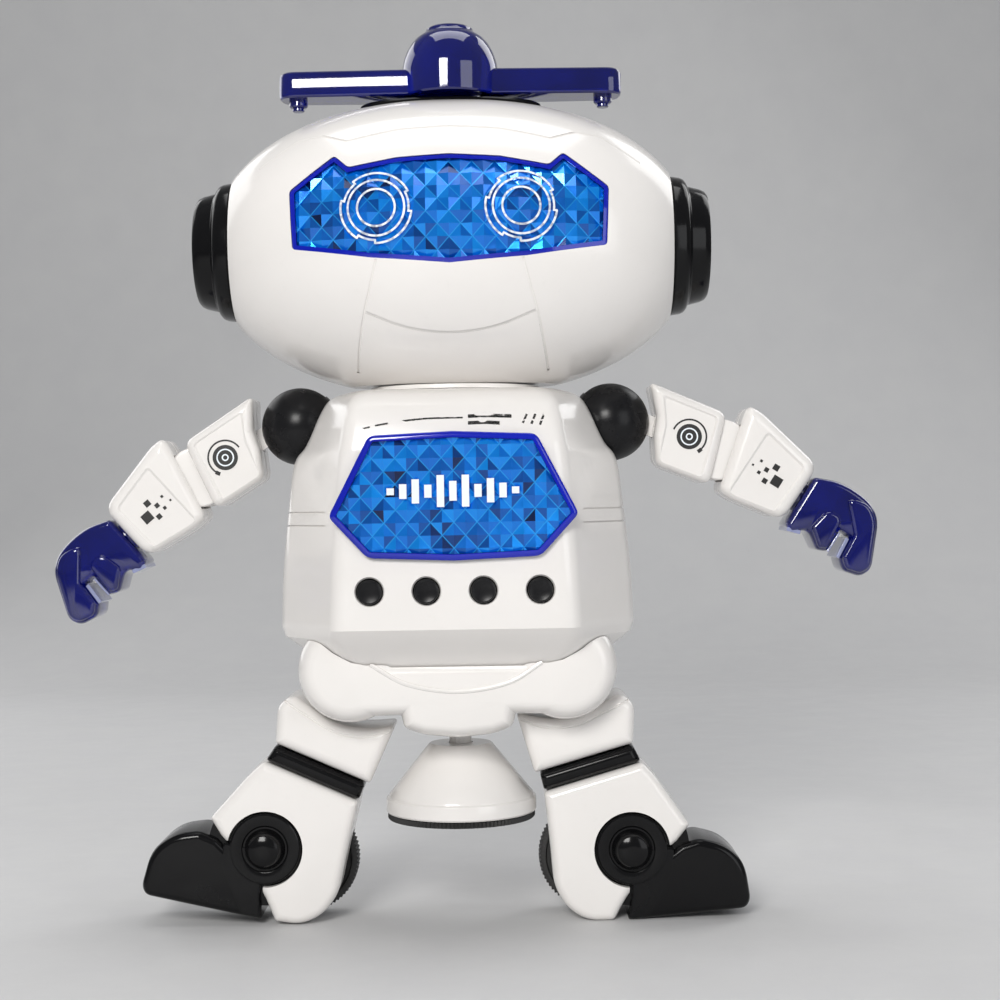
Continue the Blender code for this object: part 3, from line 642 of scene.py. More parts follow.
def egg_normals(bm):
    """Where each face lies on the egg: its corners take the egg's own normals."""
    bmesh.ops.recalc_face_normals(bm, faces=bm.faces)
    on_egg = []
    for face in bm.faces:
        c = face.calc_center_median()
        away = abs(hypot(c.y, c.z - HEAD_Z) - egg(c.x))
        flat = hypot(face.normal.y, face.normal.z)
        on_egg.append(away < 0.25 and flat > 0.3 and abs(c.x) < HEAD_END - 0.01)
    return on_egg


def set_normals(mesh, on_egg):
    normals = []
    middle = Vector(BODY) * MM
    for face, smooth in zip(mesh.polygons, on_egg):
        for corner in face.loop_indices:
            if not smooth:
                normals.append(tuple(face.normal))
                continue
            at = (mesh.vertices[mesh.loops[corner].vertex_index].co - middle) / MM
            slope = (egg(at.x + 0.05) - egg(at.x - 0.05)) / 0.1
            out = Vector((0.0, at.y, at.z - HEAD_Z)).normalized()
            n = (out - Vector((slope, 0.0, 0.0))).normalized()
            normals.append(tuple(-n if n.dot(face.normal) < 0 else n))
    mesh.normals_split_custom_set(normals)


VISOR = [
    (-37.4, 177.1, 0.8), (-26.8, 185.2, 0.8), (-23.4, 182.0, 0.8), (-12.0, 184.0, 0.0),
    (0.0, 184.7, 0.0), (12.0, 184.0, 0.0), (23.4, 182.0, 0.8), (26.8, 185.2, 0.8),
    (37.4, 177.1, 0.8), (36.7, 163.2, 0.8), (18.0, 160.4, 0.0), (0.0, 158.9, 0.0),
    (-18.0, 160.4, 0.0), (-36.7, 163.2, 0.8),
]


def deep_slab(corners, y0, y1, grow=0.0):
    return slab(corners, [(y0, -grow), (y1, -grow)])


def both(points):
    """A line drawn on +X, with its mirror image."""
    return [points, [(-x, z) for x, z in points]]


def head():
    tree = tree_of(head_solid())
    curves = both([(17.0, 160.0), (18.6, 154.0), (20.2, 148.4), (21.9, 141.0), (23.0, 135.2)])
    curves.append([(-20.2, 148.4), (-10.4, 144.8), (0.0, 143.5), (10.4, 144.8), (20.2, 148.4)])
    creases = both([(45.5, 184.2), (36.0, 190.5), (30.3, 191.2), (24.0, 189.0), (12.0, 191.5), (0.0, 192.3)])
    lines = [curve_through(line) for line in curves] + [resampled(line, 0.9) for line in creases]
    for name, front in halves("head"):
        cutters = [
            head_solid(-WALL, HEAD_END + 2.0, 64, 32),
            other_half(front, 0.0, (130.0, 80.0, 90.0), HEAD_Z),
            box((130.0, 90.0, 20.0), (0.0, 0.0, 122.6)),
            loft([oval(23.0, 9.6, z, 64) for z in (196.0, 212.0)]),
        ]
        if front:
            cutters.append(deep_slab(VISOR, -44.0, -18.0, 0.06))
            cutters += [surface_tube(tree, line, 0.34) for line in lines]
        dress(name, cut(head_solid(), *cutters), "head", WHITE, smooth=0.55, egg_like=True)
    visor()
    ears()
    crest()


def oval(rx, ry, z, steps):
    return [(x * rx, y * ry, z) for x, y, _ in around(1.0, z, steps)]


def egg_front(x, z, sink=0.0):
    r = egg(x, -sink)
    return -sqrt(max(r * r - (z - HEAD_Z) ** 2, 1.0))


def visor():
    rim = solved(head_solid(-0.55, steps=160, count=80), [
        ("DIFFERENCE", head_solid(-3.0, HEAD_END + 2.0, 96, 48)),
        ("INTERSECT", deep_slab(VISOR, -44.0, -18.0)),
        ("DIFFERENCE", deep_slab(VISOR, -46.0, -16.0, -1.05)),
    ])
    piece("visor_rim", rim, "head", RIM, replaces=("visor_lens",), smooth=0.5)
    sheet = pyramids(lambda x, z: egg_front(x, z, 0.9), -40.5, 40.5, 153.0, 189.0)
    facets = solved(sheet, [("INTERSECT", deep_slab(VISOR, -46.0, -16.0, -1.1))])
    piece("visor_facets", facets, "head", FOIL, smooth=0.0)
    clear = tree_of(head_solid(-0.62, steps=160, count=80))
    rings = []
    for cx in (-16.8, 16.8):
        rings += [ribbon(clear, arc(cx, 172.0, r, 0.0, 360.0)[:-1], 0.5, True) for r in (4.4, 6.6)]
        turns = (130.0, 27.0, -8.0, -92.0, -123.0, -193.0, -230.0)
        for k in range(6):
            rings.append(ribbon(clear, arc(cx, 172.0, (8.3, 7.6)[k % 2], turns[k], turns[k + 1]), 0.5))
        for a in turns[:-1]:
            x, z = cos(radians(a)), sin(radians(a))
            step = [Vector((cx + r * x, 172.0 + r * z)) for r in (7.4, 8.5)]
            rings.append(ribbon(clear, step, 0.5))
    piece("eye_rings", gathered(rings), "head", WHITE_INK, smooth=0.4)


def ears():
    for side, word in ((1, "left"), (-1, "right")):
        profile = [(10.0, 50.6), (13.0, 50.6), (13.0, HEAD_END + GAP), (17.0, HEAD_END + GAP),
                   (17.2, HEAD_END + 0.7), (16.9, 56.4), (16.5, 57.3), (15.8, 57.9), (15.0, 58.2),
                   (14.7, 58.5), (14.0, 61.4), (13.5, 62.5), (12.8, 63.1), (12.0, 63.2), (11.4, 62.9),
                   (10.9, 62.2), (9.8, 61.9), (9.0, 62.3), (4.0, 62.4)]
        cap = laid(turned(profile, 96), "X")
        if side < 0:
            bmesh.ops.scale(cap, vec=(-1.0, 1.0, 1.0), verts=cap.verts)
            bmesh.ops.reverse_faces(cap, faces=cap.faces)
        moved(cap, (0.0, 0.0, HEAD_Z))
        dress(word + "_ear_cap", cap, "head", BLACK)


def crest():
    rings = []
    for k in range(61):
        x = 44.0 * sin(pi / 2 * (2.0 * k / 60 - 1.0))
        ring = []
        for grow, turns in ((0.4, range(18, 37, 3)), (1.8, range(35, 18, -2))):
            for turn in turns:
                r, a = egg(x, grow), radians(turn)
                ring.append((x, r * sin(a), HEAD_Z + r * cos(a)))
        rings.append(ring)
    dress("head_crest", loft(rings), "head", BLUE, smooth=0.55, bevel=0.25)
    steps = ((1.0, 197.5), (1.0, 202.2), (0.985, 202.7), (0.95, 203.1), (0.90, 203.2), (0.88, 203.0),
             (0.80, 203.0), (0.78, 203.5), (0.6, 203.9), (0.58, 204.0))
    seat = loft([oval(22.7 * grow, 9.3 * grow, z, 96) for grow, z in steps])
    dress("rotor_seat", seat, "head", BLACK)
    post = rod(1.5, 1.2, (6.5, -4.0, 203.5), steps=24, soft=0.2)
    slots = [box(size, (6.5, -4.0, 204.2)) for size in ((2.2, 0.5, 0.8), (0.5, 2.2, 0.8))]
    piece("seat_screw", cut(post, *slots), "head", STEEL)


def rotor():
    at = turned_frame(ROOT, (0.0, 0.0, ROTOR_Z))
    dome = [(11.4, 0.0), (11.8, 0.4), (12.0, 6.2), (11.9, 7.6), (11.55, 9.3), (10.9, 11.2), (9.9, 13.1),
            (8.7, 14.6), (7.4, 15.6), (6.5, 16.1), (6.1, 16.5), (5.8, 17.2), (5.2, 17.6), (3.0, 17.7)]
    arms = []
    for side in (-1, 1):
        flat = [(side * x, y, r) for x, y, r in
                ((0.0, -6.0, 0.0), (42.6, -4.9, 4.4), (42.6, 4.9, 4.4), (0.0, 6.0, 0.0))]
        rows = [(0.0, 0.6), (0.3, 0.15), (0.8, 0.0), (5.3, 0.0), (6.0, 0.3), (6.4, 0.9),
                (6.4, 1.5), (5.7, 2.1)]
        arms.append(loft([[(x, y, z) for x, y in outline_ring(flat, d, 10)] for z, d in rows]))
        arms.append(rod(2.3, 4.0, (side * 38.0, 0.0, 0.2), soft=0.4))
        arms.append(rod(1.5, 1.0, (side * 38.0, 0.0, -2.2), soft=0.2))
    solid = joined(turned(dome, 96), *arms[:-1])
    solid = joined(solid, arms[-1])
    dress("rotor", solid, "rotor", BLUE, at)


# ---------------- torso
TORSO = (
    (64.3, 24.0, -21.0, 31.5, -8.0), (68.5, 27.5, -25.5, 38.6, -9.0), (71.5, 28.6, -29.0, 42.4, -10.0),
    (74.0, 28.1, -31.3, 43.2, -10.0), (87.0, 27.4, -32.0, 42.7, -10.0), (101.7, 26.5, -32.0, 41.2, -10.0),
    (113.5, 25.6, -31.5, 39.6, -10.0), (118.0, 25.2, -31.0, 36.6, -10.0), (125.5, 24.3, -28.5, 33.2, -9.5),
    (129.3, 22.5, -24.5, 30.6, -8.5), (130.9, 20.5, -19.5, 26.5, -7.5),
)
BACK_Y = 27.0
BACK_SCREWS = ((-29.5, 78.0), (29.5, 78.0), (-24.5, 122.0), (24.5, 122.0))
CHEST = [
    (-28.6, 100.7, 1.0), (-19.2, 119.0, 1.2), (0.0, 119.8, 0.0), (19.2, 119.0, 1.2),
    (28.6, 100.7, 1.0), (19.9, 91.3, 1.2), (0.0, 90.5, 0.0), (-19.9, 91.3, 1.2),
]


def smooth_rows(rows, parts=5):
    """More rows through the given ones; the crease at the waist stays a crease."""
    crease = 3
    out = list(rows[:crease])
    body = rows[crease:]
    for i in range(len(body) - 1):
        p = [body[max(0, i - 1)], body[i], body[i + 1], body[min(len(body) - 1, i + 2)]]
        out += [tuple(spline(*four, k / parts) for four in zip(*p)) for k in range(parts)]
    return out + [rows[-1]]


def torso_ring(row, shrink=0.0, steps=8):
    z, front_x, front_y, side_x, side_y = row
    back_y = BACK_Y * (0.72 + 0.28 * min(1.0, -front_y / 31.0))
    corners = [
        (front_x, front_y, 3.0), (side_x, side_y, 3.0), (side_x, 11.0, 5.0), (side_x - 11.0, back_y, 6.0),
        (-side_x + 11.0, back_y, 6.0), (-side_x, 11.0, 5.0), (-side_x, side_y, 3.0),
        (-front_x, front_y, 3.0),
    ]
    return [(x, y, z) for x, y in outline_ring(corners, shrink, steps)]


def torso_solid(shrink=0.0, fine=True):
    rows = smooth_rows(TORSO) if fine else list(TORSO)
    rings = [torso_ring(row, shrink, 8 if fine else 2) for row in rows]
    if shrink:
        low = [(x, y, TORSO[0][0] + shrink) for x, y, _ in rings[0]]
        top = [(x, y, TORSO[-1][0] - shrink) for x, y, _ in rings[-1]]
        rings = [low] + rings[1:-1] + [top]
    return loft(rings)


def side_band():
    """Two fine grooves round each flank, level with the lens."""
    cutters = []
    for z in (101.7, 98.5):
        outer, inner = (torso_ring(interpolated(z), shrink) for shrink in (-0.6, 0.35))
        rings = ((outer, -0.2), (outer, 0.2), (inner, 0.2), (inner, -0.2))
        ring = loft([[(x, y, z + rise) for x, y, _ in edge] for edge, rise in rings], True)
        cutters.append(cut(ring, box((60.8, 120.0, 4.0), (0.0, 0.0, z))))
    return cutters


def interpolated(z):
    for low, high in zip(TORSO, TORSO[1:]):
        if low[0] <= z <= high[0]:
            t = (z - low[0]) / (high[0] - low[0])
            return (z,) + tuple(a + (b - a) * t for a, b in zip(low[1:], high[1:]))
    return TORSO[-1]


def chest_openings():
    cutters = [slab(CHEST, [(-40.0, -0.6), (-31.95, -0.45), (-31.4, -0.06), (-24.0, -0.06)])]
    for x in BUTTONS:
        steps = ((0.3, -12.0), (0.3, -0.6), (0.75, 0.2), (0.9, 4.0))
        hole = [(BUTTON_R + grow, y) for grow, y in steps]
        cutters.append(moved(laid(turned(hole, 48), "Y"), (x, -31.9, BUTTON_Z)))
    return cutters


def back_openings():
    """The battery bay, the switch slot, a thumb recess over the door and the screw wells."""
    thumb = [(-7.0, 115.0, 1.0), (7.0, 115.0, 1.0), (7.0, 121.6, 3.0), (-7.0, 121.6, 3.0)]
    cutters = [box((40.0, 12.0, 46.0), (0.0, 26.0, 96.0)), box((7.4, 12.0, 3.4), (0.0, 25.0, 69.6))]
    cutters.append(deep_slab(thumb, 26.2, 30.0))
    return cutters + [rod(2.3, 9.0, (x, 24.6, z), "Y", 32) for x, z in BACK_SCREWS]


def torso():
    tree = tree_of(torso_solid())
    for name, front in halves("torso"):
        cutters = [torso_solid(WALL, False), other_half(front, SPLIT_Y, (120.0, 60.0, 100.0), 98.0)]
        for side in (-1, 1):
            cutters.append(moved(ball(BALL_R + 0.5), (side * SHOULDER[0], 0.0, SHOULDER[2])))
        cutters += [rod(7.0, 12.0, (0.0, 0.0, 130.0)), rod(6.0, 12.0, (0.0, 0.0, 64.0))]
        cutters += side_band()
        cutters += chest_openings() if front else back_openings()
        dress(name, cut(torso_solid(), *cutters), "torso", WHITE, smooth=0.42)
    chest_lens()
    marks(tree)
    collar = [(20.4, 131.2), (21.0, 131.2), (21.0, 131.8), (20.8, 132.15), (20.3, 132.3), (6.2, 132.3),
              (6.2, 131.2)]
    neck = turned(collar, 96, True)
    bmesh.ops.scale(neck, vec=(1.0, 0.82, 1.0), verts=neck.verts)
    dress("neck_collar", neck, "torso", WHITE, smooth=0.55)


def chest_lens():
    rim = slab(CHEST, [(-29.2, 1.5), (-33.1, 1.5), (-33.1, -0.4), (-33.5, -0.35), (-33.85, 0.0),
                       (-34.0, 0.45), (-34.0, 1.3)])
    rim = cut(rim, deep_slab(CHEST, -40.0, -20.0, -1.1))
    piece("chest_rim", rim, "torso", RIM, replaces=("chest_lens",))
    sheet = pyramids(lambda x, z: -33.75, -32.4, 32.4, 90.0, 123.0)
    facets = solved(sheet, [("INTERSECT", deep_slab(CHEST, -40.0, -20.0, -1.15))])
    piece("chest_facets", facets, "torso", FOIL, smooth=0.0)


def marks(tree):
    """Plain printed shapes that carry no words."""
    heights = (1.6, 3.4, 5.6, 3.0, 7.4, 4.6, 7.4, 3.0, 5.6, 3.4, 1.6)
    blocks = []
    for k, tall in enumerate(heights):
        x0, x1 = 2.9 * k - 15.4, 2.9 * k - 13.7
        z0, z1 = 106.3 - 0.5 * tall, 106.3 + 0.5 * tall
        corners = ((x0, z0), (x1, z0), (x1, z1), (x0, z1))
        blocks.append(loft([[(x, y, z) for x, z in corners] for y in (-33.98, -33.76)]))
    piece("chest_mark", gathered(blocks), "torso", WHITE_INK, smooth=0.0)
    ink = [
        ribbon(tree, resampled([(-21.5, 121.0), (-19.3, 121.5)], 0.5), 0.42),
        ribbon(tree, resampled([(-18.1, 121.8), (-15.1, 122.3)], 0.5), 0.42),
        ribbon(tree, curve_through([(-12.7, 122.7), (-6.0, 123.3), (2.4, 123.4)]), 0.42),
    ]
    for z in (124.3, 123.9, 123.5, 122.7, 122.3, 121.9):
        reach = 13.8 if z > 123.0 else 11.0
        line = curve_through([(3.6, z), (7.4, z + 0.1), (reach, z - 0.1)])
        ink.append(ribbon(tree, line, 0.46, high=0.24))
    for x in (16.4, 18.4, 20.4):
        line = resampled([(x, 121.9 - 0.12 * (x - 16.4)), (x + 1.0, 124.0)], 0.4)
        ink.append(ribbon(tree, line, 0.55, high=0.24))
    piece("chest_print", gathered(ink), "torso", INK, smooth=0.0)


# ---------------- pelvis
LOBE = (
    (25.8, 66.4, 0.0), (25.8, 52.6, 0.0), (13.7, 52.6, 0.4), (13.1, 49.6, 1.4), (8.4, 47.9, 2.2),
    (0.0, 47.1, 0.0),
)


def pelvis_solid(shrink=0.0):
    r = HIP_BALL - shrink
    front, back = -22.5 + shrink, 21.0 - shrink
    turns = [0.5 * pi * k / 6 for k in range(7)]
    profile = [(r - 4.4 * (1 - sin(a)), -back + 6.0 * (1 - cos(a))) for a in turns]
    profile += [(x, back - front - y - 2 * back) for x, y in reversed(profile)]
    drums = [moved(laid(turned(profile, 72), "Y"), (x, 0.0, HIP_Z)) for x in (-HIP_X, HIP_X)]
    outline = list(LOBE) + [(-x, z, c) for x, z, c in reversed(LOBE[:-1])]
    rows = [(front + 6.0 * (1 - cos(a)), 3.2 * (1 - sin(a))) for a in turns]
    rows += [(front + back - y, d) for y, d in reversed(rows)]
    return joined(slab(outline, [(y, d + shrink) for y, d in rows]), *drums)


def pelvis():
    tree = tree_of(pelvis_solid())
    smile = curve_through([(-20.6, 65.4), (-12.0, 60.6), (0.0, 58.7), (12.0, 60.6), (20.2, 65.4)])
    for name, front in halves("pelvis"):
        solid = pelvis_solid()
        if front:
            solid = joined(solid, surface_tube(tree, smile, 0.6, -0.1))
        solid = cut(
            solid, pelvis_solid(WALL), torso_solid(-GAP, False),
            other_half(front, SPLIT_Y, (120.0, 60.0, 60.0), 50.0), rod(6.0, 40.0, (0.0, 0.0, 52.0)),
        )
        dress(name, solid, "torso", WHITE, smooth=0.45)


# ---------------- arms
UPPER_ARM = (
    (4.8, 12.6, 2.0), (25.4, 12.8, 2.6), (28.4, -5.2, 2.6), (14.2, -5.7, 2.0), (11.0, 0.6, 1.0),
    (9.8, 5.4, 1.0), (7.6, 8.6, 1.0),
)
FOREARM = (
    (-0.3, 12.8, 3.0), (3.5, 13.2, 2.0), (22.6, 9.2, 3.4), (22.2, -6.8, 3.4), (8.6, -9.2, 2.0),
    (4.8, -8.8, 2.4),
)
HAND = (
    (23.3, 6.6, 1.0), (30.0, 9.3, 5.0), (38.2, 8.9, 5.0), (42.6, 6.0, 3.0), (47.5, -5.4, 2.0),
    (46.0, -8.5, 1.5), (41.3, -9.6, 1.5), (38.9, -7.4, 0.8), (38.4, -1.4, 0.4), (35.7, -1.4, 0.4),
    (35.6, -7.6, 0.9), (33.2, -8.6, 1.0), (28.8, -5.6, 1.5), (25.6, -8.2, 0.8), (23.3, -7.2, 0.8),
)
FINGERS = (
    (32.6, 6.4, 2.0), (38.0, 8.0, 4.0), (42.0, 5.2, 3.0), (46.6, -5.2, 1.6), (45.4, -7.8, 1.2),
    (41.5, -8.8, 1.0), (39.3, -6.8, 0.8), (38.9, -0.6, 0.6), (36.4, 2.2, 1.6),
)
THUMB = ((28.9, -4.4, 1.0), (30.2, 1.6, 2.0), (34.6, 1.6, 2.0), (35.2, -6.9, 0.8), (33.1, -7.9, 0.8))
UPPER_PANEL = [(8.9, 10.9, 1.2), (23.9, 11.2, 1.6), (26.4, -9.0, 0.0), (14.4, -9.0, 0.0), (13.6, -2.6, 1.5),
               (12.4, 4.2, 1.5)]
FORE_PANEL = [(7.2, 9.9, 1.4), (20.2, 7.1, 1.8), (19.0, -12.0, 0.0), (6.6, -12.0, 0.0)]


def limb_shell(outline, front, depth, r):
    """Half shell with a soft outer edge, a small lip at the parting line and a hollow inside."""
    way = -1.0 if front else 1.0
    rows = rounded_rows(way * 0.15, way * depth, r, 6, 0.22)
    solid = slab(outline, rows, 8)
    room = slab(outline, [(way * -1.0, WALL), (way * (depth - WALL), WALL + 0.6)], 3)
    return cut(solid, room)


def recess(side, corners):
    """Cutter for a shallow panel with sloping sides on the front of an arm segment."""
    rows = [(-ARM_DEPTH - 3.0, 0.0), (-ARM_DEPTH - 0.02, 0.0), (-ARM_DEPTH + 0.5, 0.6)]
    return slab(sided(corners, side), rows)


def badge(tree, cx, cz, flip):
    """A disc with two pale rings and a sweeping tail; no figures."""
    shapes = [patch(tree, arc(cx, cz, 3.1, 0, 360)[:-1])]
    a, b = (178.0, -22.0) if flip > 0 else (2.0, 202.0)
    shapes.append(ribbon(tree, arc(cx, cz, 4.2, a, b), 0.42))
    shapes.append(ribbon(tree, arc(cx, cz, 4.25, b, b - 16.0 * flip), 0.9))
    light = [ribbon(tree, arc(cx, cz, r, 0, 360, 0.2)[:-1], 0.34, True, 0.12) for r in (2.0, 0.7)]
    return gathered(shapes), gathered(light)


def pixels(tree, cx, cz, turn, flip):
    """A scatter of small printed squares."""
    shapes = []
    spots = ((0.0, 0.0, 2.5), (0.0, 3.4, 1.5), (-2.9, 0.2, 1.25), (-2.4, 2.9, 1.1), (-4.3, 2.3, 0.8),
             (-3.6, 5.1, 0.65), (-5.7, 4.2, 0.5))
    c, s = cos(radians(turn)), sin(radians(turn))
    for x, z, size in spots:
        x *= flip
        ring = []
        for dx, dz in ((-0.5, -0.5), (0.5, -0.5), (0.5, 0.5), (-0.5, 0.5)):
            ring.append((cx + x * c - z * s + dx * size, cz + x * s + z * c + dz * size))
        shapes.append(patch(tree, ring))
    return gathered(shapes)


def shoulder(word, side, swing):
    axle = rod(3.4, 8.0, (-side * 11.0, 0.0, 0.0), "X")
    flange = rod(5.2, 1.8, (-side * 14.2, 0.0, 0.0), "X", soft=0.3)
    slot = box((30.0, 5.0, 30.0), (side * 8.6, 0.0, 0.0))
    solid = cut(joined(ball(BALL_R), axle, flange), slot)
    dress(word + "_shoulder_ball", solid, word + "_shoulder", SATIN, swing)


def segment(body, side, at, outline, r, panel, pin, holes, prints):
    """Two half shells of an arm, printed on the front one and held by a screw at (x, z) = pin."""
    for name, front in halves(body):
        if front:
            last = recess(side, panel)
        else:
            last = rod(1.9, 3.0, (side * pin[0], ARM_DEPTH - 0.6, pin[1]), "Y", 32)
        shell = cut(limb_shell(sided(outline, side), front, ARM_DEPTH, r), *holes(), last)
        if front:
            prints(tree_of(shell))
        dress(name, shell, body, WHITE, at, 0.45)
    screw(body, body, (side * pin[0], ARM_DEPTH - 1.5, pin[1]), 1.6, at)


def arm(word):
    side, droop, bend, _, _ = SIDES[word]
    swing = turned_frame(ROOT, (side * SHOULDER[0], 0.0, SHOULDER[2]))
    upper = turned_frame(swing, (0.0, 0.0, 0.0), droop)
    shoulder(word, side, swing)
    at = (side * ELBOW[0], 0.0, ELBOW[1])
    upper_body, fore_body = word + "_upper_arm", word + "_forearm"

    def upper_holes():
        return rod(7.8, 14.6, at, "Y", 64), box((10.0, 4.4, 5.2), (side * 10.0, 0.0, 3.0))

    def upper_prints(tree):
        ink, light = badge(tree, side * 19.0, 3.8, side)
        piece(word + "_badge", ink, upper_body, INK, upper, smooth=0.0)
        piece(word + "_badge_rings", light, upper_body, WHITE_INK, upper, smooth=0.0)

    segment(upper_body, side, upper, UPPER_ARM, 2.6, UPPER_PANEL, (17.0, 6.5), upper_holes, upper_prints)
    link(word, side, upper, at)
    fore = turned_frame(upper, at, bend)

    def fore_holes():
        return rod(7.9, 14.6, axis="Y", steps=64), rod(4.3, 8.0, (side * 21.0, 0.0, WRIST[1]), "X")

    def fore_prints(tree):
        dots = pixels(tree, side * 15.6, 0.4, droop + bend, side)
        piece(fore_body + "_print", dots, fore_body, INK, fore, smooth=0.0)

    segment(fore_body, side, fore, FOREARM, 2.9, FORE_PANEL, (14.0, 1.0), fore_holes, fore_prints)
    hand(word + "_hand", side, turned_frame(fore, (side * WRIST[0], 0.0, WRIST[1])))


def link(word, side, upper, at):
    drum = [(6.6, -7.0), (7.2, -6.9), (7.5, -6.5), (7.5, -3.1), (7.1, -2.9), (7.1, 2.9), (7.5, 3.1),
            (7.5, 6.5), (7.2, 6.9), (6.6, 7.0)]
    drum = moved(laid(turned(drum, 72), "Y"), at)
    tongue = box((14.0, 4.0, 4.8), (side * 13.6, 0.0, 3.0))
    eye = rod(5.8, 4.0, (side * 1.0, 0.0, 0.6), "Y", 48, 0.3)
    dress(word + "_arm_link", joined(drum, tongue, eye), word + "_upper_arm", WHITE, upper)


def screw(name, body, at, r, frame_at, tall=0.9):
    """Small cross-head screw that faces the back."""
    head_ring = [(r, -0.5 * tall), (r, 0.2 * tall), (0.8 * r, 0.5 * tall)]
    shape = laid(turned(head_ring, 32), "Y")
    bmesh.ops.rotate(shape, matrix=Matrix.Rotation(pi, 3, "Z"), verts=shape.verts)
    long, wide = 1.5 * r, 0.32 * r
    slots = [box((x, tall, z), (0.0, 0.6 * tall, 0.0)) for x, z in ((long, wide), (wide, long))]
    piece(name + "_screw", moved(cut(shape, *slots), at), body, STEEL, frame_at, smooth=0.5)


def hand(name, side, wrist):
    outline = seen_from(WRIST, HAND, side)
    palm = slab(outline, [(y, min(1.3, 0.65 * d) + 0.07) for y, d in soft_rows(6.8, 2.0, 5)], 6)
    cutters = []
    for y in (-3.4, 0.0, 3.4):
        skin = slab(outline, [(y - 0.3, -1.5), (y + 0.3, -1.5)], 4)
        core = slab(outline, [(y - 1.0, 0.75), (y + 1.0, 0.75)], 4)
        knuckles = box((18.0, 4.0, 40.0), (side * 18.6, y, -4.0))
        cutters.append(solved(cut(skin, core), [("INTERSECT", knuckles)]))
    pads = [
        two_faced(seen_from(WRIST, corners, side), depth, 1.0)
        for corners, depth in ((FINGERS, 7.9), (THUMB, 7.7))
    ]
    solid = joined(palm, rod(4.0, 6.0, (-side * 1.8, 0.0, 0.0), "X", 48, 0.3), *pads)
    dress(name, cut(solid, *cutters), name, BLUE, wrist, 0.6)
    shapes = []
    for a, b, w in (((38.2, -2.0), (38.6, -7.4), 0.9), ((35.8, -2.0), (35.7, -7.4), 0.5),
                    ((24.2, -7.9), (27.6, -6.9), 1.0)):
        a, b = Vector((side * a[0], a[1])), Vector((side * b[0], b[1]))
        along = (b - a).normalized()
        across = Vector((-along.y, along.x)) * 0.5 * w
        ring = [a - across, b - across, b + across, a + across]
        ring = [(p.x - side * WRIST[0], p.y - WRIST[1]) for p in ring]
        shapes.append(loft([[(x, y, z) for x, z in ring] for y in (-6.3, 6.3)]))
    piece(name + "_inner_faces", gathered(shapes), name, PALE, wrist, smooth=0.0, bevel=0.15)


# ---------------- legs
THIGH = (
    (-14.9, -8.8, 1.6), (-14.8, -24.2, 1.0), (10.5, -24.2, 1.0), (13.6, -15.4, 2.0), (11.2, -11.4, 2.0),
    (4.6, -13.0, 3.0), (-1.6, -13.9, 4.0), (-8.0, -12.4, 3.0),
)
RING = ((-13.6, -24.6, 0.8), (-13.8, -28.9, 0.8), (11.0, -28.9, 0.8), (10.2, -24.6, 0.8))
SHIN_TOP = ((-13.9, -29.3, 1.2), (11.2, -29.3, 1.2), (13.4, -33.9, 2.0), (17.9, -47.3, 0.8))
SHIN_LOW = (
    (-2.4, -60.2, 0.6), (-6.6, -64.3, 1.0), (-12.8, -62.6, 3.0), (-16.8, -58.2, 3.0),
    (-18.3, -52.0, 3.0), (-16.0, -41.0, 6.0),
)
SHIN = SHIN_TOP + ((13.8, -50.2, 0.4), (5.0, -54.2, 0.0)) + SHIN_LOW
SHOE = (
    (-3.4, -65.4, 0.8), (25.2, -71.0, 1.6), (27.0, -69.2, 1.6), (28.2, -60.3, 5.0), (24.9, -54.6, 4.0),
    (19.2, -51.3, 1.5), (14.4, -51.3, 0.6), (5.6, -55.2, 0.0), (-1.6, -61.2, 0.4),
)
BRIDGE = (
    (2.6, -48.9, 0.0), (12.6, -51.4, 0.8), (11.0, -57.0, 0.0), (2.0, -66.0, 0.0), (-3.0, -65.0, 0.5),
    (-0.8, -60.2, 0.6),
)


def two_faced(outline, depth, r, steps=8):
    """A block with soft front and back edges."""
    return slab(outline, [(y, d + 0.03) for y, d in soft_rows(depth, r)], steps)


def leg(word):
    side, _, _, height, splay = SIDES[word]
    hip = turned_frame(ROOT, (side * HIP_X, 0.0, height), splay)
    thigh = two_faced(sided(THIGH, side), 10.8, 2.6, 10)
    tree = tree_of(thigh)
    lip = curve_through([(-14.2, -10.6), (-8.4, -14.3), (-1.6, -15.7), (4.8, -14.9), (12.4, -13.6)])
    lip = surface_tube(tree, [(side * p[0], p[1]) for p in lip], 0.32)
    thigh = cut(thigh, box((20.4, 16.0, 8.0), (-side * 2.0, 0.0, -22.0)), lip)
    dress(word + "_thigh", thigh, word + "_thigh", WHITE, hip, 0.45)
    body = word + "_lower_leg"
    groove = []
    for z in (-25.6, -27.9):
        rim = [(-15.5, z - 0.16, 0), (13.0, z - 0.16, 0), (13.0, z + 0.16, 0), (-15.5, z + 0.16, 0)]
        core = box((22.6, 18.9, 3.0), (-side * 1.6, 0.0, z))
        groove.append(cut(slab(sided(rim, side), [(-12.0, 0.0), (12.0, 0.0)], 1), core))
    knee = cut(slab(sided(RING, side), soft_rows(10.0, 1.8)), *groove)
    dress(word + "_knee_ring", knee, body, BLACK, hip, 0.45)
    shin(word, side, hip, body)
    shoe(word + "_shoe", side, turned_frame(hip, (side * ANKLE[0], 0.0, -ANKLE[1])))
    wheel(word + "_heel_wheel", turned_frame(hip, (side * WHEEL[0], WHEEL_Y, -WHEEL[1])))


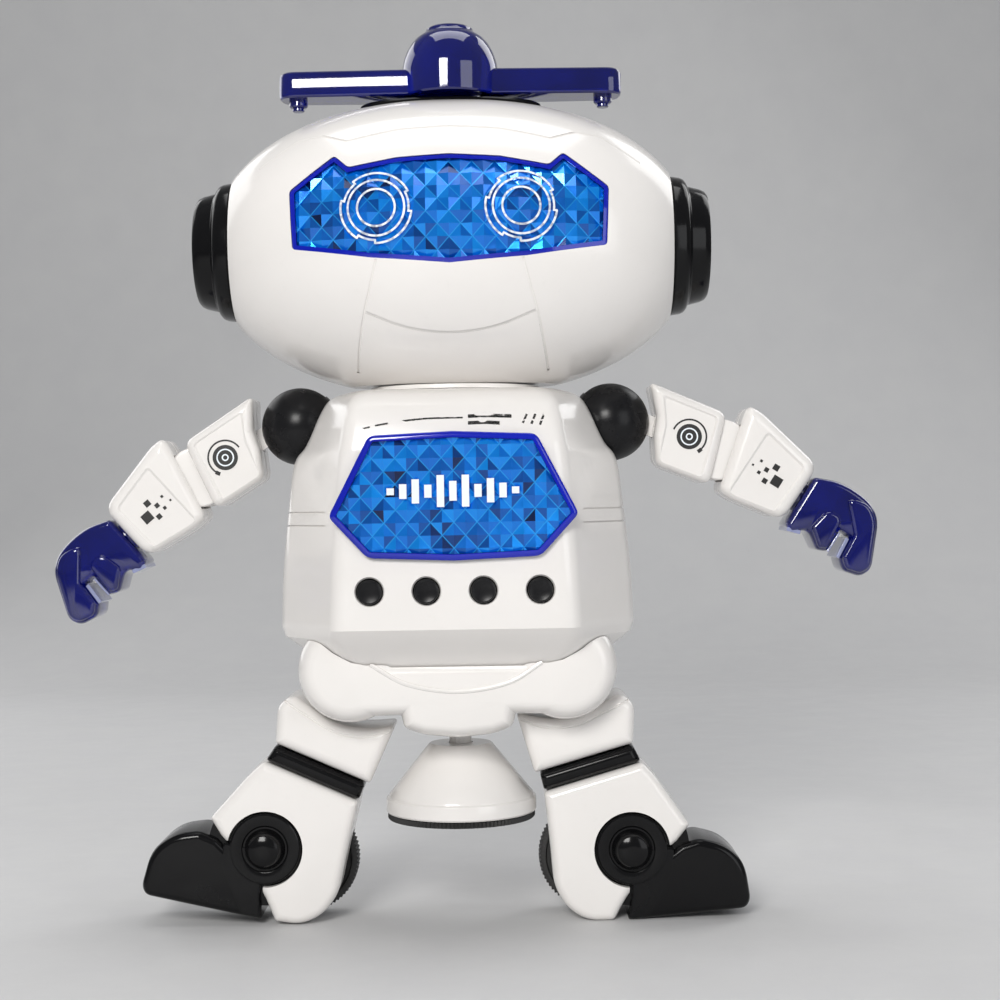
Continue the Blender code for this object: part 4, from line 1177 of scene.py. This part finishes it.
def shin(word, side, hip, body):
    ankle_x, wheel_x = side * ANKLE[0], side * WHEEL[0]
    for name, front in halves(word + "_shin"):
        if front:
            tools = [rod(14.6, 8.1, (ankle_x, -4.05, -ANKLE[1]), "Y", 72),
                     rod(9.3, 8.0, (ankle_x, -10.5, -ANKLE[1]), "Y", 72),
                     slab(sided(BRIDGE, side), [(-14.5, -0.6), (-6.5, -0.6)])]
        else:
            tools = [rod(WHEEL_R + 0.6, 7.2, (wheel_x, WHEEL_Y, -WHEEL[1]), "Y", 72),
                     rod(2.0, 3.0, (-side * 3.0, LEG_DEPTH - 0.6, -36.0), "Y", 32)]
        shell = limb_shell(sided(SHIN, side), front, LEG_DEPTH, 2.2)
        dress(name, cut(shell, *tools), body, WHITE, hip, 0.45)
    screw(word + "_shin", body, (-side * 3.0, LEG_DEPTH - 1.5, -36.0), 1.7, hip)


def shoe(name, side, ankle):
    below = (ANKLE[0], -ANKLE[1])
    sole = two_faced(seen_from(below, SHOE, side), 9.6, 1.7)
    drum = rod(14.2, 7.2, (0.0, -4.2, 0.0), "Y", 96)
    disc = [(8.8, 4.0), (8.8, 9.2), (8.6, 9.7), (8.2, 9.95), (6.0, 10.0), (5.7, 9.9), (5.4, 9.55),
            (5.0, 9.55), (4.8, 9.9), (4.65, 10.8), (4.3, 11.9), (3.6, 12.8), (2.6, 13.25), (1.2, 13.4)]
    rows = [(-9.68, 0.5), (-9.4, 0.12), (-9.0, 0.0), (-6.0, 0.0)]
    bridge = slab(seen_from(below, BRIDGE, side), rows)
    solid = joined(sole, drum, laid(turned(disc, 96), "Y"), bridge)
    room = (side * (WHEEL[0] - ANKLE[0]), WHEEL_Y, ANKLE[1] - WHEEL[1])
    solid = cut(solid, rod(WHEEL_R + 0.6, 7.4, room, "Y", 96))
    dress(name, solid, name, BLACK, ankle, 0.45)


def wheel(name, axle):
    half = [(2.8, 0.0, 0.55), (3.1, 0.9, 0.0), (3.1, 1.7, 0.0), (2.5, 2.0, 0.0), (2.5, 3.4, 0.0),
            (3.1, 3.6, 0.0)]
    rows = [(-y, d, wave) for y, d, wave in reversed(half)] + half
    tyre = loft([around(WHEEL_R - d, y, 152, wave) for y, d, wave in rows])
    dress(name, laid(tyre, "Y"), name, RUBBER, axle)


# ---------------- base, buttons, back
def base():
    cone = [(7.6, 43.7), (8.0, 43.4), (17.9, 31.2), (18.05, 30.7), (18.35, 30.5), (18.6, 30.3), (18.7, 29.9),
            (18.7, 27.2), (18.4, 26.8)]
    hollow = [(16.6, 26.8), (16.6, 29.8), (6.4, 42.0), (3.1, 42.0), (3.1, 43.7)]
    dress("base_cone", turned(cone + hollow, 128, True), "base", WHITE)
    tread = [(18.0, 26.5), (18.35, 26.3), (18.35, 25.5), (18.1, 25.2), (15.0, 25.2), (15.0, 26.5)]
    rings = [around(r, z, 224, 0.6 if r > 18.2 else 0.0) for r, z in tread]
    dress("base_tread_ring", loft(rings, True), "base", RUBBER)


def buttons():
    for k, x in enumerate(BUTTONS):
        cap = [(3.9, -4.5), (3.9, -3.0), (BUTTON_R, -2.9), (BUTTON_R, 0.1), (2.78, 0.45), (2.45, 0.62),
               (2.1, 0.52), (1.2, 0.36), (0.4, 0.32)]
        name = "button_%d" % (k + 1)
        shape = moved(laid(turned(cap, 64), "Y"), (x, -32.0, BUTTON_Z))
        dress(name, shape, name, SATIN)


def door():
    panel = box((39.4, 1.8, 45.4), (0.0, 26.3, 96.0), 0.35)
    grooves = [box((12.0, 0.5, 0.7), (0.0, 27.2, 107.6 - 1.7 * k)) for k in range(4)]
    grooves += [box((30.0, 0.3, 0.5), (0.0, 27.2, z)) for z in (80.0, 96.0)]
    dress("battery_door", cut(panel, *grooves), "battery_door", WHITE)
    screw("battery_door", "battery_door", (0.0, 27.0, 116.4), 1.5, ROOT, 0.4)
    for k, (x, z) in enumerate(BACK_SCREWS):
        screw("torso_%d" % (k + 1), "torso", (x, 21.4, z), 1.9, ROOT)


def carried():
    """CAD pieces whose shape is right take on the detailed finishes."""
    finishes = {
        "circuit_board": BOARD, "eye_light_board": BOARD, "motor": STEEL, "motor_pinion": GEAR,
        "idler_gear": GEAR, "output_gear": GEAR, "gearbox_plate": GREY, "neck_post": GREY,
        "base_bottom_plate": SATIN, "base_shaft": WHITE, "power_switch": SATIN, "battery_box": SATIN,
        "speaker": SATIN,
    }
    for name, mat in finishes.items():
        for slot in frame["nodes"][name].material_slots:
            slot.material = mat


# ---------------- stage
def studio():
    mat = plastic("studio_floor", grey(0.62), (0.60, 0.60, 0.605), 0.6)
    rows = [(-3.0, 0.0), (0.55, 0.0)]
    for k in range(1, 13):
        a = 0.5 * pi * k / 12
        rows.append((0.55 + 0.35 * sin(a), 0.35 * (1 - cos(a))))
    rows.append((0.90, 3.0))
    bm = bmesh.new()
    verts = [[bm.verts.new((x, y, z)) for x in (-4.0, 4.0)] for y, z in rows]
    for a, b in zip(verts, verts[1:]):
        bm.faces.new((a[0], a[1], b[1], b[0]))
    mesh = bpy.data.meshes.new("studio_floor")
    bm.to_mesh(mesh)
    bm.free()
    mesh.materials.append(mat)
    mesh.shade_smooth()
    floor = placed("studio_floor", mesh)


def lamp(name, at, size, power, colour=(1.0, 1.0, 1.0)):
    """A soft light that faces the middle of the robot."""
    light = bpy.data.lights.new(name, "AREA")
    light.shape = "RECTANGLE"
    light.size, light.size_y = size
    light.energy = power
    light.color = colour
    made = placed(name, light)
    made.location = at
    made.rotation_euler = (MIDDLE - Vector(at)).to_track_quat("-Z", "Y").to_euler()


def lights():
    lamp("key", (-0.22, -0.85, 0.50), (0.30, 0.30), 6.3, (1.0, 0.985, 0.96))
    lamp("fill", (0.65, -0.75, 0.25), (0.5, 0.7), 2.0, (0.97, 0.985, 1.0))
    lamp("top", (0.0, 0.05, 0.95), (0.7, 0.5), 2.6)
    lamp("rim", (0.55, 0.45, 0.55), (0.4, 0.6), 1.6)
    lamp("back", (-0.5, 0.40, 0.35), (0.5, 0.5), 1.2)
    world = bpy.data.worlds.new("studio")
    bpy.context.scene.world = world
    world.use_nodes = True
    sky = world.node_tree.nodes["Background"].inputs
    sky["Color"].default_value = (0.93, 0.95, 1.0, 1.0)
    sky["Strength"].default_value = 0.20


def camera():
    lens = bpy.data.cameras.new("camera")
    lens.lens = 64.8
    lens.sensor_width = 36.0
    lens.clip_start = 0.01
    made = placed("camera", lens)
    made.location = (0.0085, -0.4503, 0.1034)
    made.rotation_euler = (radians(90.0), radians(0.9), 0.0)
    bpy.context.scene.camera = made
    bpy.context.scene.view_settings.view_transform = "Standard"


camera()
studio()
lights()
head()
rotor()
torso()
pelvis()
for word in SIDES:
    arm(word)
    leg(word)
base()
buttons()
door()
carried()
